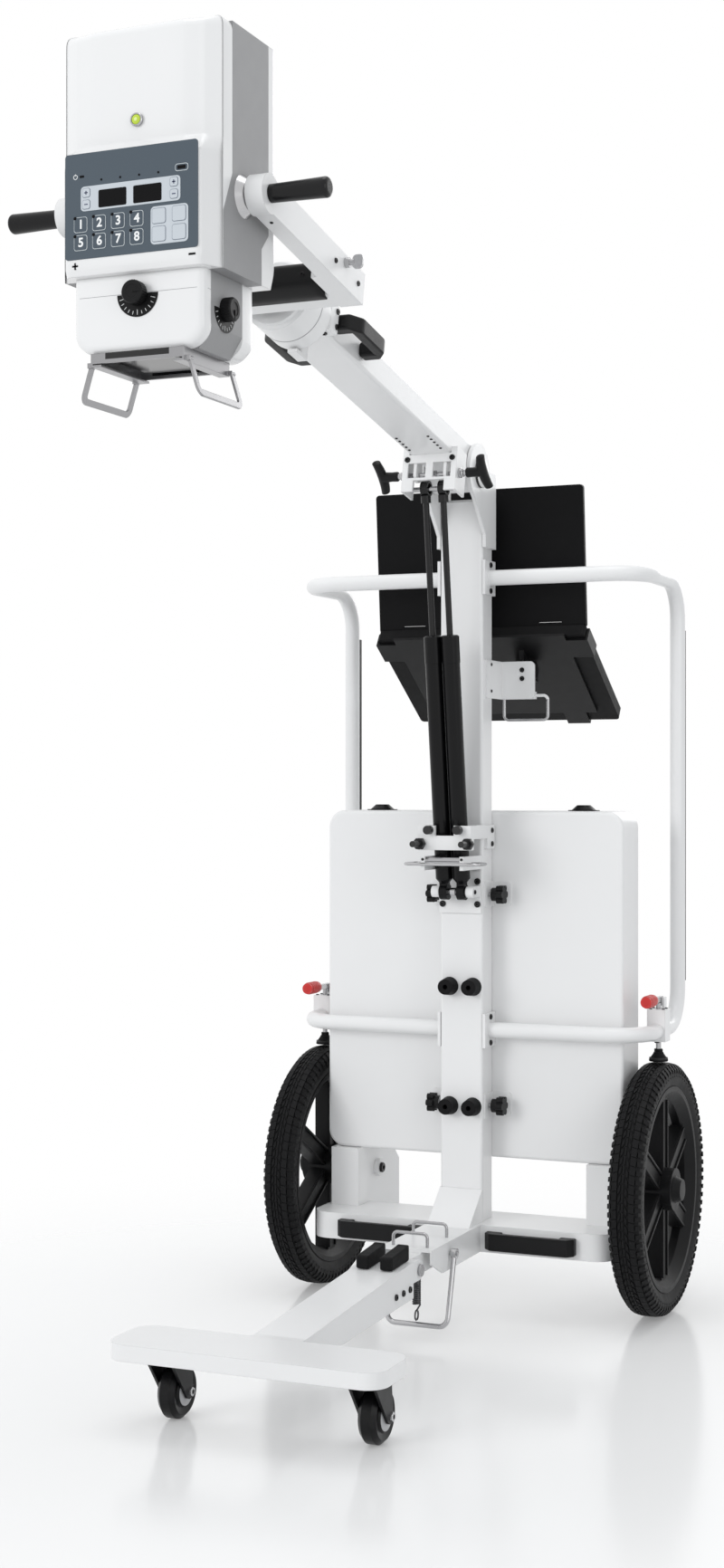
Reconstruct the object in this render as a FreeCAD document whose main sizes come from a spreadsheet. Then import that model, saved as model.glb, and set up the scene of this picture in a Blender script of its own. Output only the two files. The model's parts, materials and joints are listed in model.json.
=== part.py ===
"""Portable x-ray machine: a column stand with gas-sprung boom, yoke, x-ray head and folding front leg.

Millimetres. +Z is up, the front of the machine faces -Y, and the origin lies on the floor under the
middle of the machine. Pieces of the base are drawn from the rear axle, pieces of the boom from its
lift pin, and pieces of the head from its tilt pin, and each is then placed by its Placement.
"""
import FreeCAD
import Part
import Sketcher
import math
import os
import re

doc = FreeCAD.newDocument("PortableXrayMachine")
sheet = doc.addObject("Spreadsheet::Sheet", "Sizes")
SIZES = {
    # Places
    "axle_back": 502.15, "wheel_radius": 203, "wheel_track": 294.4, "pivot_forward": 146,
    "pivot_height": 1356, "boom_angle": 11.2, "head_reach": 995.3, "swivel_lift": 18,
    # Column and base
    "column_half": 36.4, "column_front": 119.4, "column_back": 70.8, "head_rise": 41,
    "column_wall": 4, "column_corner": 5, "base_top": 150, "base_bottom": 107, "beam_half": 42,
    "beam_front": 355, "beam_nose_drop": 22, "beam_nose_run": 45, "gusset_rise": 52, "gusset_run": 62,
    "base_wall": 4, "tray_clear": 10.4, "tray_front": 145, "tray_back": 30, "tray_corner": 30,
    # Leg hinge
    "tongue_reach": 42, "leg_pin_height": 129, "leg_pin_radius": 6, "tongue_half": 24,
    "tongue_radius": 15, "leg_side_gap": 0.6, "leg_pin_head": 9,
    # Front leg
    "leg_half": 38, "leg_root": 24, "leg_top": 145, "leg_root_bottom": 92, "leg_low_bottom": 85,
    "leg_low_forward": 680, "leg_bar_depth": 110, "leg_bar_back": 820,
    "leg_bar_bottom": 100, "leg_bar_top": 122, "leg_bar_half": 198, "leg_bar_corner": 30, "leg_wall": 4,
    "block_inner": 9, "block_width": 20, "block_length": 69, "block_start": 18, "block_low": 18,
    "block_high": 28,
    # Casters
    "caster_x": 146.5, "caster_inset": 30, "caster_trail": 30.6, "caster_radius": 37.5,
    "caster_width": 28, "caster_plate_radius": 26, "caster_plate": 5, "fork_wall": 4, "fork_gap": 2,
    "caster_axle_radius": 4, "stem_radius": 8, "running_gap": 0.05, "caster_hub_radius": 20,
        # Rear wheels
    "tyre_width": 54, "tyre_depth": 38, "tyre_shoulder": 22, "tyre_curve": 9, "tyre_round": 3,
    "tyre_crown": 1.5, "rim_depth": 22, "rim_lip": 8, "rim_taper": 4, "rim_width": 44, "hub_radius": 34,
    "hub_width": 60, "spoke_width": 30, "spoke_thick": 22, "axle_radius": 10, "rim_gap": 0.3,
    "hub_cap_radius": 22, "hub_cap_depth": 12, "spoke_count": 6,
    # Wheel posts
    "post_clear": 16.4, "post_width": 49, "post_front": 80, "post_depth": 46, "post_plate": 5,
    "plate_back": 100, "plate_bottom": 115, "post_top": 246.7, "axle_flange_radius": 20,
    # Case
    "case_clear": 9.6, "case_depth": 91, "case_top": 813.3, "case_corner": 28, "case_wall": 3,
    "case_back_cover": 16, "knob_x": 178, "knob_radius": 20, "knob_rise": 8, "knob_plate": 1.5,
    "case_edge": 6,
    # Clips and hand screws
    "clip_drop": 6, "clip_lower": 335, "clip_height": 41, "clip_reach": 69, "clip_thick": 2.6,
    "clip_forward": 112, "screw_forward": 95, "screw_radius": 4, "star_radius": 16, "star_start": 45,
    "star_length": 21, "star_lobe": 5,
    # Side frames
    "frame_tube_radius": 12.5, "frame_outset": 1.6, "frame_back": 118.5, "frame_drop": 164,
    "frame_lower": 458, "frame_forward": 95, "frame_bend": 62, "flange_length": 60, "flange_height": 56,
    "flange_thick": 5,
    # Brakes
    "brake_base_half": 15, "brake_base_height": 52, "brake_bore": 4.5, "plunger_radius": 4.2,
    "foot_radius": 15, "foot_thick": 6, "foot_gap": 3, "lever_rise": 47, "lever_pin_back": 16,
    "lever_thick": 5, "lever_length": 58, "lever_grip_radius": 9, "lever_grip_length": 40,
    "lever_ear": 4, "lever_pin_radius": 3,
    # Column head and lift pin
    "cheek_radius": 47, "cheek_thick": 6, "cheek_drop": 116, "lift_pin_radius": 10,
    "lift_pin_cap": 24, "lift_cap_thick": 4, "cap_rise": 6,
    # Boom
    "boom_half": 35, "boom_height": 44, "boom_under": 4, "boom_rear": 18, "boom_front": 588,
    "boom_wall": 3, "lug_radius": 30, "end_block_depth": 24, "end_block_half": 48, "end_block_low": 4,
    "end_block_high": 40, "hook_half": 7, "hook_drop": 34, "hook_lip": 12, "hook_thick": 5, "boom_corner": 5,
    # Swivel
    "housing_radius": 48, "housing_length": 80, "housing_ring": 43, "hub_radius_black": 26.5,
    "swivel_bore": 16, "spindle_radius": 15.95, "swivel_gap": 0.3,
    # Boom handles
    "handle_setback": 4, "handle_length": 118, "handle_out": 40, "handle_bar": 22, "handle_foot": 30,
    # Strut bracket
    "anchor_along": 85.4, "anchor_drop": 52.6, "bracket_half": 45, "bracket_wall": 4,
    "bracket_rise": 6, "window_inner": 6, "window_side": 9, "window_low": 22, "window_top": 14,
    "recess_half": 26, "recess_rise": 18,
    "bracket_rear": 70, "bracket_depth": 42, "bracket_drop": 64, "anchor_pin_radius": 4,
    "knob_bore": 4.1, "knob_stem_radius": 4, "knob_along": 97, "knob_drop": 33, "knob_collar_radius": 8,
    "knob_collar": 8, "tee_x": 85, "tee_length": 64, "tee_radius": 8, "tee_turn": 56,
    # Gas struts
    "foot_forward": 154, "foot_height": 684, "strut_x": 14.7, "strut_radius": 14, "strut_low": 22,
    "strut_long": 388, "strut_rod_radius": 5, "rod_eye_radius": 12.5, "rod_eye_bore": 8.6,
    "rod_eye_width": 12, "eye_width": 13, "eye_radius": 13, "foot_pin_radius": 5, "eye_shift_back": 3.2,
    "eye_shift_up": 0.8, "rod_inside": 320, "foot_plate": 5, "foot_plate_under": 36,
    "foot_plate_over": 32, "foot_plate_half": 36, "boss_radius": 9, "boss_inner": 23, "boss_outer": 36,
    # Latch plate and catch
    "latch_half": 45, "latch_forward": 196, "latch_thick": 6, "latch_rise": 68, "latch_height": 39,
    "notch_half": 16, "notch_deep": 16, "latch_back": 75, "latch_side": 5, "bumper_radius": 7,
    "bumper_x": 25, "bumper_inset": 7, "stud_x": 41, "stud_inset": 10, "stud_radius": 5, "stud_length": 34,
    "nut_radius": 9, "nut_thick": 9, "catch_inner": 29.6, "catch_outer": 36.2, "catch_forward": 206,
    "catch_drop": 32, "catch_height": 22, "catch_tube_radius": 5.5, "bail_radius": 2.5, "bail_half": 65,
    "bail_back": 168, "bail_front": 214, "bail_inset": 10, "bail_bend": 10,
    # Cone bumpers
    "cone_x": 20, "cone_upper": 529, "cone_lower": 335, "cone_base": 15, "cone_tip": 12.5,
    "cone_length": 22, "cone_hole": 4,
    # Loops and foot loop
    "loop_half": 28, "loop_rise": 21, "loop_wire": 2.5, "loop_rear": 258, "loop_front": 340,
    "loop_bend": 7, "foot_wire": 4, "foot_half": 50, "foot_pivot_forward": 281,
    "foot_pivot_height": 132, "foot_low": 25, "foot_swing": 33, "foot_bend": 14, "spring_radius": 6,
    "spring_wire": 1.2, "spring_turns": 7, "spring_gap": 0.3, "spring_end": 10,
    # Tray handles
    "pull_inner": 54, "pull_outer": 203, "pull_out": 22, "pull_height": 27, "pull_z": 128,
    "pull_foot": 26, "pull_bar": 10,
    # Yoke
    "arm_inner": 117, "arm_outer": 140, "arm_radius": 24, "hub_length": 21, "bar_depth": 40,
    "bar_half_height": 21, "arm_width": 21, "arm_bore": 10.1, "pad_depth": 26, "pad_radius": 14,
    "pad_half": 104, "screw_inset": 22, "screw_drop": -10, "screw_stem": 4, "screw_stem_length": 12,
    "wing_length": 12, "wing_width": 18, "wing_thick": 4, "screw_bore": 4.1,
    # Head
    "head_half": 105, "head_face_half": 88, "head_top": 198, "head_low": 95, "panel_front": 84,
    "face_front": 69, "face_step_low": 50, "face_step_high": 74, "seam_front": 31, "seam_low_front": 54,
    "seam_high": 20, "seam_low": 28, "middle_back": 66, "middle_low_back": 47, "middle_step_high": 31,
    "middle_step_low": 51, "head_back": 92, "head_wall": 3.5, "head_edge": 8, "lip_rise": 9,
    "lip_back": 5, "panel_half": 88, "panel_low": 76, "panel_high": 48, "panel_thick": 1,
    "level_height": 84, "level_radius": 7.5, "level_proud": 3, "trunnion_radius": 10,
    "flange_radius": 26, "flange_out": 116, "grip_radius": 11, "grip_tip_radius": 12.5, "grip_out": 216,
    "tank_half": 70, "tank_front": 24, "tank_back": 46, "tank_low": 62, "tank_high": 150,
    "tank_gap": 0.3,
    # Collimator
    "coll_half": 87, "coll_front": 68, "coll_side_back": 31, "coll_back": 67, 
    "coll_low": 185, "dial_hole_depth": 30, "coll_slant": 16, "coll_slant_rise": 26, "coll_wall": 3.5,
    "knob_front_z": 119, "knob_side_y": 15, "knob_side_z": 135, "dial_radius": 14, "dial_length": 15,
    "dial_shaft": 3, "dial_plate_radius": 27, "dial_plate": 1, "rail_half": 62, "rail_drop": 16,
    "rail_thick": 2.5, "rail_front": 70, "rail_back": 47, "rail_flange": 14, "guard_bar": 8,
    "guard_thick": 3, "guard_drop": 40, "guard_splay": 17, "guard_inset": 9, 
    "guard_bend": 8, "guard_hinge": 3, "guard_gap": 0.3, "guard_pin": 1.5,
    # Laptop
    "bracket_back": 30, "bracket_plate": 3, "plate_right": 96, "plate_drop": 195, "plate_height": 62,
    "plate_grip": 60, "tray_pin_back": 2, "tray_pin_inset": 13, "tray_pin_radius": 5,
    "tray_angle": 33, "laptop_back": 28, "laptop_rise": 120, "tray_thick": 4, "tray_width_half": 150,
    "tray_length": 205, "tray_lip": 26, "tray_start": 10, "sector_x": 62,
    "sector_thick": 8, "sector_radius": 34, "laptop_half": 182, "laptop_deep": 243, "laptop_thick": 20,
    "lid_thick": 8, "lid_long": 226, "lid_gap": 0.6, "lid_angle": 127.6, "barrel_radius": 4,
    "barrel_inner": 100, "barrel_outer": 140, "barrel_gap": 0.4,
}
# Places that follow from the sizes above
FOLLOWS = {
    "case_half": "wheel_track - tyre_width / 2 - case_clear",
    "tray_half": "wheel_track - tyre_width / 2 - tray_clear",
    "post_outer": "wheel_track - hub_width / 2 - post_clear",
    "post_inner": "post_outer - post_width",
    "frame_half": "wheel_track + frame_outset",
    "frame_upper": "pivot_height - frame_drop",
    "clip_upper": "foot_height - clip_drop",
    "latch_low": "foot_height + latch_rise",
    "catch_low": "latch_low - catch_drop",
    "plate_low": "frame_upper - plate_drop",
    "laptop_height": "plate_low + laptop_rise",
    "column_top": "pivot_height - head_rise",
    "cheek_foot": "pivot_height - cheek_drop",
    "leg_bar_front": "leg_bar_back + leg_bar_depth",
    "caster_forward": "leg_bar_back + caster_inset",
    "foot_plate_low": "foot_height - foot_plate_under",
    "foot_plate_high": "foot_height + foot_plate_over",
    "block_front": "boom_front + end_block_depth",
    "housing_front": "block_front + housing_length",
    "bar_rear": "housing_front + hub_length",
    "bar_front": "bar_rear + bar_depth",
    "screw_along": "bar_front + screw_inset",
    "handle_front": "boom_front - handle_setback",
    "handle_rear": "handle_front - handle_length",
    "latch_high": "latch_low + latch_height",
    "bumper_z": "latch_high - bumper_inset",
    "stud_z": "latch_low + stud_inset",
    "catch_high": "catch_low + catch_height",
    "bail_z": "catch_low + bail_inset",
    "leg_pin_forward": "beam_front + tongue_reach",
    "bracket_front": "bracket_rear + bracket_depth",
    "plate_high": "plate_low + plate_height",
    "tray_pin_height": "plate_high - tray_pin_inset",
    "guard_front": "rail_front - guard_inset",
    "guard_back": "rail_back",
    "plunger_top": "frame_lower + lever_rise",
    "coll_top": "head_low",
    "rail_low": "coll_low + rail_drop",
}
for row, (alias, value) in enumerate(SIZES.items(), 1):
    sheet.set(f"A{row}", alias.replace("_", " "))
    sheet.set(f"B{row}", str(value))
    sheet.setAlias(f"B{row}", alias)
doc.recompute()


def qualify(text):
    """Name the sheet in front of every alias of an expression, and write out the places that follow."""
    def swap(word):
        name = word.group()
        if name in FOLLOWS:
            return "(" + qualify(FOLLOWS[name]) + ")"
        return "Sizes." + name if name in SIZES else name
    return re.sub(r"[a-z_]+", swap, str(text))


def num(text):
    """Value of an expression, for shapes that are built in code."""
    return float(sheet.evalExpression(qualify(text)))


def point(*coordinates):
    return FreeCAD.Vector(*[num(value) for value in coordinates])


def bind(item, **properties):
    for name, expression in properties.items():
        item.setExpression(name, qualify(expression))
    return item


def place(item, x=0, y=0, z=0):
    """Bind the position of an item to three expressions."""
    for letter, expression in zip("xyz", (x, y, z)):
        item.setExpression("Placement.Base." + letter, qualify(expression))
    return item


TURN_TO = {
    "z": FreeCAD.Rotation(),
    "x": FreeCAD.Rotation(FreeCAD.Vector(0, 1, 0), 90),
    "y": FreeCAD.Rotation(FreeCAD.Vector(1, 0, 0), -90),
}


def box(x, y, z):
    """Box between two expressions along each axis."""
    item = doc.addObject("Part::Box", "box")
    bind(item, Length=f"({x[1]}) - ({x[0]})", Width=f"({y[1]}) - ({y[0]})", Height=f"({z[1]}) - ({z[0]})")
    return place(item, x[0], y[0], z[0])


def rod(axis, start, length, radius):
    """Cylinder from a start point along an axis."""
    item = doc.addObject("Part::Cylinder", "rod")
    item.Placement.Rotation = TURN_TO[axis]
    bind(item, Radius=radius, Height=length)
    return place(item, *start)


def cone(axis, start, length, first_radius, last_radius):
    item = doc.addObject("Part::Cone", "cone")
    item.Placement.Rotation = TURN_TO[axis]
    bind(item, Radius1=first_radius, Radius2=last_radius, Height=length)
    return place(item, *start)


def fuse(*items):
    if len(items) == 1:
        return items[0]
    item = doc.addObject("Part::MultiFuse", "fuse")
    item.Shapes = list(items)
    return item


def cut(base, *tools):
    item = doc.addObject("Part::Cut", "cut")
    item.Base = base
    item.Tool = fuse(*tools)
    return item


def common(first, second):
    item = doc.addObject("Part::MultiCommon", "common")
    item.Shapes = [first, second]
    return item


PLANES = {
    "xy": FreeCAD.Rotation(),
    "xz": FreeCAD.Rotation(FreeCAD.Vector(1, 0, 0), 90),
    "yz": FreeCAD.Rotation(FreeCAD.Vector(1, 1, 1), 120),
}


def outline(plane, corners, offset=0):
    """Closed sketch through corners, each held from the origin by two bound constraints."""
    sketch = doc.addObject("Sketcher::SketchObject", "outline")
    sketch.Placement.Rotation = PLANES[plane]
    place(sketch, **{{"xy": "z", "xz": "y", "yz": "x"}[plane]: offset})
    spots = [FreeCAD.Vector(num(a), num(b), 0) for a, b in corners]
    for index, spot in enumerate(spots):
        sketch.addGeometry(Part.LineSegment(spot, spots[(index + 1) % len(spots)]), False)
    for index, (across, up) in enumerate(corners):
        sketch.addConstraint(Sketcher.Constraint("Coincident", index - 1 if index else len(spots) - 1, 2,
                                                 index, 1))
        for kind, value, letter in (("DistanceX", across, "a"), ("DistanceY", up, "b")):
            made = sketch.addConstraint(Sketcher.Constraint(kind, -1, 1, index, 1, num(value)))
            sketch.renameConstraint(made, f"{letter}{index}")
            sketch.setExpression(f"Constraints.{letter}{index}", qualify(value))
    return sketch


def extrude(plane, corners, start, length):
    """Prism of a closed outline. Outlines in xz grow towards -Y."""
    item = doc.addObject("Part::Extrusion", "prism")
    item.Base = outline(plane, corners, start)
    item.DirMode = "Normal"
    item.Solid = True
    return bind(item, LengthFwd=length)


def revolve(corners, axis="x"):
    """Ring of an outline in xy, turned about X, or about Y."""
    item = doc.addObject("Part::Revolution", "ring")
    item.Source = outline("xy", corners)
    item.Axis = FreeCAD.Vector(1, 0, 0) if axis == "x" else FreeCAD.Vector(0, 1, 0)
    item.Angle = 360
    item.Solid = True
    return item


def along(axis, where=None):
    """Pick the straight edges that run along one axis, and may be asked to lie somewhere."""
    direction = {"x": FreeCAD.Vector(1, 0, 0), "y": FreeCAD.Vector(0, 1, 0),
                 "z": FreeCAD.Vector(0, 0, 1)}[axis]

    def pick(edge):
        if not isinstance(edge.Curve, (Part.Line, Part.LineSegment)):
            return False
        if abs(abs(edge.tangentAt(edge.FirstParameter).dot(direction)) - 1) > 1e-6:
            return False
        return where is None or where(edge.CenterOfMass)
    return pick


def rounded(base, radius, pick, kind="Part::Fillet"):
    """Fillet, or chamfer, of the picked edges."""
    doc.recompute()
    size = num(radius)
    item = doc.addObject(kind, "rounded")
    item.Base = base
    item.Edges = [(index, size, size) for index, edge in enumerate(base.Shape.Edges, 1) if pick(edge)]
    return item


def bent_path(corners, bend):
    """Wire through corners, with each inner corner rounded by an arc."""
    spots = [point(*corner) for corner in corners]
    radius = num(bend)
    edges = []
    last = spots[0]
    for before, corner, after in zip(spots, spots[1:], spots[2:]):
        inward = (before - corner).normalize()
        outward = (after - corner).normalize()
        half = inward.getAngle(outward) / 2
        reach = radius / math.tan(half)
        first = corner + inward * reach
        second = corner + outward * reach
        middle = (inward + outward).normalize()
        crown = corner + middle * (radius / math.sin(half) - radius)
        edges.append(Part.LineSegment(last, first).toShape())
        edges.append(Part.Arc(first, crown, second).toShape())
        last = second
    edges.append(Part.LineSegment(last, spots[-1]).toShape())
    return Part.Wire(edges)


def coded(shape):
    """A shape that only code can make, kept as a plain feature."""
    item = doc.addObject("Part::Feature", "coded")
    item.Shape = shape
    return item


def bent_rod(corners, bend, radius):
    """Round rod along a bent path: a cylinder on each run and a part of a torus on each bend."""
    thickness = num(radius)
    pieces = []
    for edge in bent_path(corners, bend).Edges:
        start = edge.valueAt(edge.FirstParameter)
        direction = edge.tangentAt(edge.FirstParameter)
        if isinstance(edge.Curve, Part.Circle):
            disc = Part.Face(Part.Wire([Part.Circle(start, direction, thickness).toShape()]))
            turn = math.degrees(edge.LastParameter - edge.FirstParameter)
            pieces.append(disc.revolve(edge.Curve.Center, edge.Curve.Axis, turn))
        else:
            pieces.append(Part.makeCylinder(thickness, edge.Length, start, direction))
    return coded(pieces[0].multiFuse(pieces[1:]))


def coil(radius, rise, turns, wire):
    """Coil spring of six-sided wire that runs straight between twelve points to a turn."""
    steps = 12 * turns
    spots = [FreeCAD.Vector(radius * math.cos(math.tau * step / 12), radius * math.sin(math.tau * step / 12),
                            rise * step / steps) for step in range(steps + 1)]
    direction = (spots[1] - spots[0]).normalize()
    across = direction.cross(FreeCAD.Vector(0, 0, 1)).normalize()
    up = across.cross(direction)
    angles = [math.tau * side / 6 for side in range(6)]
    section = [spots[0] + across * wire * math.cos(angle) + up * wire * math.sin(angle) for angle in angles]
    return Part.makePolygon(spots).makePipeShell([Part.makePolygon(section + section[:1])], True, False, 1)


nodes = []


def node(name, items, at=(0, 0, 0), turn=None):
    """One named sub-part: a group of solids with its own Label and Placement."""
    group = doc.addObject("Part::Compound", name)
    group.Label = name
    group.Links = items if isinstance(items, list) else [items]
    if turn:
        group.Placement.Rotation = FreeCAD.Rotation(FreeCAD.Vector(1, 0, 0), 10)
        group.setExpression("Placement.Rotation.Angle", qualify(turn))
    place(group, *at)
    nodes.append(group)
    return group


def side_span(side, inner, outer):
    """Span across X of something that lies between two distances, on the right (1) or the left (-1)."""
    return (inner, outer) if side > 0 else (f"-({outer})", f"-({inner})")


SIDES = (("left", -1), ("right", 1))
AXLE = (0, "axle_back", 0)
LIFT_PIN = (0, "axle_back - pivot_forward", "pivot_height")
TILT_PIN = (0, "axle_back - pivot_forward - head_reach * cos(boom_angle)",
            "pivot_height + head_reach * sin(boom_angle)")
ANCHOR_FORWARD = "(anchor_along * cos(boom_angle) + anchor_drop * sin(boom_angle))"
ANCHOR_RISE = "(anchor_along * sin(boom_angle) - anchor_drop * cos(boom_angle))"
STRUT_RUN = f"(pivot_forward + {ANCHOR_FORWARD} - foot_forward)"
STRUT_RISE = f"(pivot_height + {ANCHOR_RISE} - foot_height)"
STRUT_LENGTH = f"sqrt({STRUT_RUN} ^ 2 + {STRUT_RISE} ^ 2)"
STRUT_LEAN = f"atan({STRUT_RUN} / {STRUT_RISE})"
STRUT_FOOT = (0, "axle_back - foot_forward", "foot_height")
CASE_FRONT = "-column_back"
CASE_BACK = "(case_depth - column_back)"


def make_column():
    tube = box(("-column_half", "column_half"), ("-column_front", "-column_back"), ("base_top", "column_top"))
    tube = rounded(tube, "column_corner", along("z"))
    room = box(("column_wall - column_half", "column_half - column_wall"),
               ("column_wall - column_front", "-column_back - column_wall"),
               ("base_top - 1", "column_top + 1"))
    holes = [rod("x", ("-column_half - 1", "-screw_forward", height), "2 * column_half + 2", "screw_radius")
             for height in ("clip_upper", "clip_lower")]
    node("column", cut(tube, room, *holes), AXLE)


def make_base_beam():
    profile = [("-beam_front", "base_top"), ("-beam_front", "base_top - beam_nose_drop"),
               ("beam_nose_run - beam_front", "base_bottom"), ("-tray_front", "base_bottom"),
               ("-tray_front", "base_top")]
    shell = extrude("yz", profile, "-beam_half", "2 * beam_half")
    room = box(("base_wall - beam_half", "beam_half - base_wall"),
               ("-beam_front - 1", "-tray_front - base_wall"),
               ("base_bottom - 1", "base_top - base_wall"))
    tongue = fuse(
        box(("-tongue_half", "tongue_half"), ("-leg_pin_forward", "-beam_front + beam_nose_run + 12"),
            ("leg_pin_height - tongue_radius", "leg_pin_height + tongue_radius")),
        rod("x", ("-tongue_half", "-leg_pin_forward", "leg_pin_height"), "2 * tongue_half", "tongue_radius"))
    neck = box(("-tongue_half", "tongue_half"), ("-beam_front", "-beam_front + beam_nose_run"),
               ("leg_pin_height - tongue_radius", "base_top - 1"))
    gusset = extrude("yz", [("-column_front", "base_top"), ("-column_front", "base_top + gusset_rise"),
                            ("-column_front - gusset_run", "base_top")], "-column_half", "2 * column_half")
    pin = rod("x", ("-leg_half - leg_side_gap - 4", "-leg_pin_forward", "leg_pin_height"),
              "2 * (leg_half + leg_side_gap + 4)", "leg_pin_radius")
    heads = [rod("x", (f"{sign} * (leg_half + leg_side_gap + {0 if sign > 0 else 4})", "-leg_pin_forward",
                       "leg_pin_height"), 4, "leg_pin_head") for sign in (-1, 1)]
    loops = [bent_rod([("-loop_half", f"-{place_at}", "base_top - 2"),
                       ("-loop_half", f"-{place_at}", "base_top + loop_rise"),
                       ("loop_half", f"-{place_at}", "base_top + loop_rise"),
                       ("loop_half", f"-{place_at}", "base_top - 2")],
                      "loop_bend", "loop_wire") for place_at in ("loop_rear", "loop_front")]
    pivot = rod("x", ("-foot_half - foot_wire - 2", "-foot_pivot_forward", "foot_pivot_height"),
                "2 * (foot_half + foot_wire + 2)", "foot_wire - 0.5")
    node("base_beam", fuse(cut(shell, room), tongue, neck, gusset, pin, *heads, *loops, pivot), AXLE)


def make_base_tray():
    slab = box(("-tray_half", "tray_half"), ("-tray_front", "-tray_back"), ("base_bottom", "base_top"))
    slab = rounded(slab, "tray_corner", along("z", lambda at: at.y < -num("tray_front") + 1))
    room = box(("base_wall - tray_half", "tray_half - base_wall"),
               ("base_wall - tray_front", "-tray_back - base_wall"),
               ("base_bottom - 1", "base_top - base_wall"))
    room = rounded(room, "tray_corner - base_wall",
                   along("z", lambda at: at.y < -num("tray_front") + num("base_wall") + 1))
    node("base_tray", cut(slab, room), AXLE)
    handles = []
    for side in (-1, 1):
        low, high = side_span(side, "pull_inner", "pull_outer")
        body = extrude("xy", [(low, "-tray_front"), (low, "-tray_front - pull_out + pull_bar"),
                              (f"({low}) + pull_bar", "-tray_front - pull_out"),
                              (f"({high}) - pull_bar", "-tray_front - pull_out"),
                              (high, "-tray_front - pull_out + pull_bar"), (high, "-tray_front")],
                       "pull_z - pull_height / 2", "pull_height")
        gap = box((f"({low}) + pull_foot", f"({high}) - pull_foot"),
                  ("-tray_front - pull_out + pull_bar", "-tray_front + 1"),
                  ("pull_z - pull_height", "pull_z + pull_height"))
        handles.append(cut(body, gap))
    node("tray_handles", handles, AXLE)


def make_wheel_posts():
    posts = []
    for side in (-1, 1):
        span = side_span(side, "post_inner", "post_outer")
        inner = side_span(side, "post_inner", "post_inner + post_plate")
        hollow = side_span(side, "post_inner + post_plate", "post_outer - post_plate")
        block = box(span, ("-post_front", "post_depth - post_front"), ("base_top", "post_top"))
        room = box(hollow, ("post_plate - post_front", "post_depth - post_front + 1"),
                   ("base_top - 1", "post_top - post_plate"))
        plate = extrude("yz", [("-post_front", "base_top"), ("-tray_back + 0.3", "base_top"),
                               ("-tray_back + 0.3", "plate_bottom"), ("plate_back", "plate_bottom"),
                               ("plate_back", "wheel_radius"), ("plate_back - 45", "post_top"),
                               ("-post_front", "post_top")],
                        inner[0], "post_plate")
        start = "post_inner - 8" if side > 0 else "-wheel_track - hub_width / 2 - hub_cap_depth / 2"
        axle = rod("x", (start, 0, "wheel_radius"),
                   "wheel_track + hub_width / 2 + hub_cap_depth / 2 - post_inner + 8",
                   "axle_radius - running_gap")
        collar = rod("x",
                     ("post_inner + post_plate" if side > 0 else "-wheel_track + hub_width / 2 + rim_gap", 0,
                      "wheel_radius"),
                     "wheel_track - hub_width / 2 - rim_gap - post_inner - post_plate", "axle_flange_radius")
        nut = rod("x", (side_span(side, "post_inner - 8", "post_inner")[0], 0, "wheel_radius"), 8,
                  "axle_radius + 5")
        posts.append(fuse(cut(block, room), plate, axle, collar, nut))
    node("wheel_posts", posts, AXLE)


def make_case():
    shell = box(("-case_half", "case_half"), (CASE_FRONT, f"{CASE_BACK} - case_back_cover"),
                ("post_top", "case_top"))
    shell = rounded(shell, "case_corner", along("y"))
    shell = rounded(shell, "case_edge", lambda edge: abs(edge.CenterOfMass.y - num(CASE_FRONT)) < 0.01)
    room = box(("case_wall - case_half", "case_half - case_wall"),
               (f"{CASE_FRONT} + case_wall", f"{CASE_BACK}"),
               ("post_top + case_wall", "case_top - case_wall"))
    room = rounded(room, "case_corner - case_wall", along("y"))
    cover = box(("-case_half", "case_half"), (f"{CASE_BACK} - case_back_cover", CASE_BACK),
                ("post_top", "case_top"))
    cover = rounded(cover, "case_corner", along("y"))
    cover = rounded(cover, "case_edge", lambda edge: abs(edge.CenterOfMass.y - num(CASE_BACK)) < 0.01)
    inner = box(("case_wall - case_half + 0.3", "case_half - case_wall - 0.3"),
                (f"{CASE_BACK} - case_back_cover - 1", f"{CASE_BACK} - case_wall"),
                ("post_top + case_wall + 0.3", "case_top - case_wall - 0.3"))
    inner = rounded(inner, "case_corner - case_wall", along("y"))
    node("case_shell", [cut(shell, room), cut(cover, inner)], AXLE)
    knobs = []
    for sign in (-1, 1):
        centre = (f"{sign} * knob_x", f"{CASE_FRONT} + case_depth / 2", "case_top")
        plate = box((f"{centre[0]} - knob_radius - 4", f"{centre[0]} + knob_radius + 4"),
                    (f"{centre[1]} - 9", f"{centre[1]} + 9"),
                    ("case_top", "case_top + knob_plate"))
        dome = cone("z", (centre[0], centre[1], "case_top + knob_plate"), "knob_rise", "knob_radius",
                    "knob_radius * 0.55")
        knobs.append(fuse(plate, dome))
    return knobs


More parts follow.
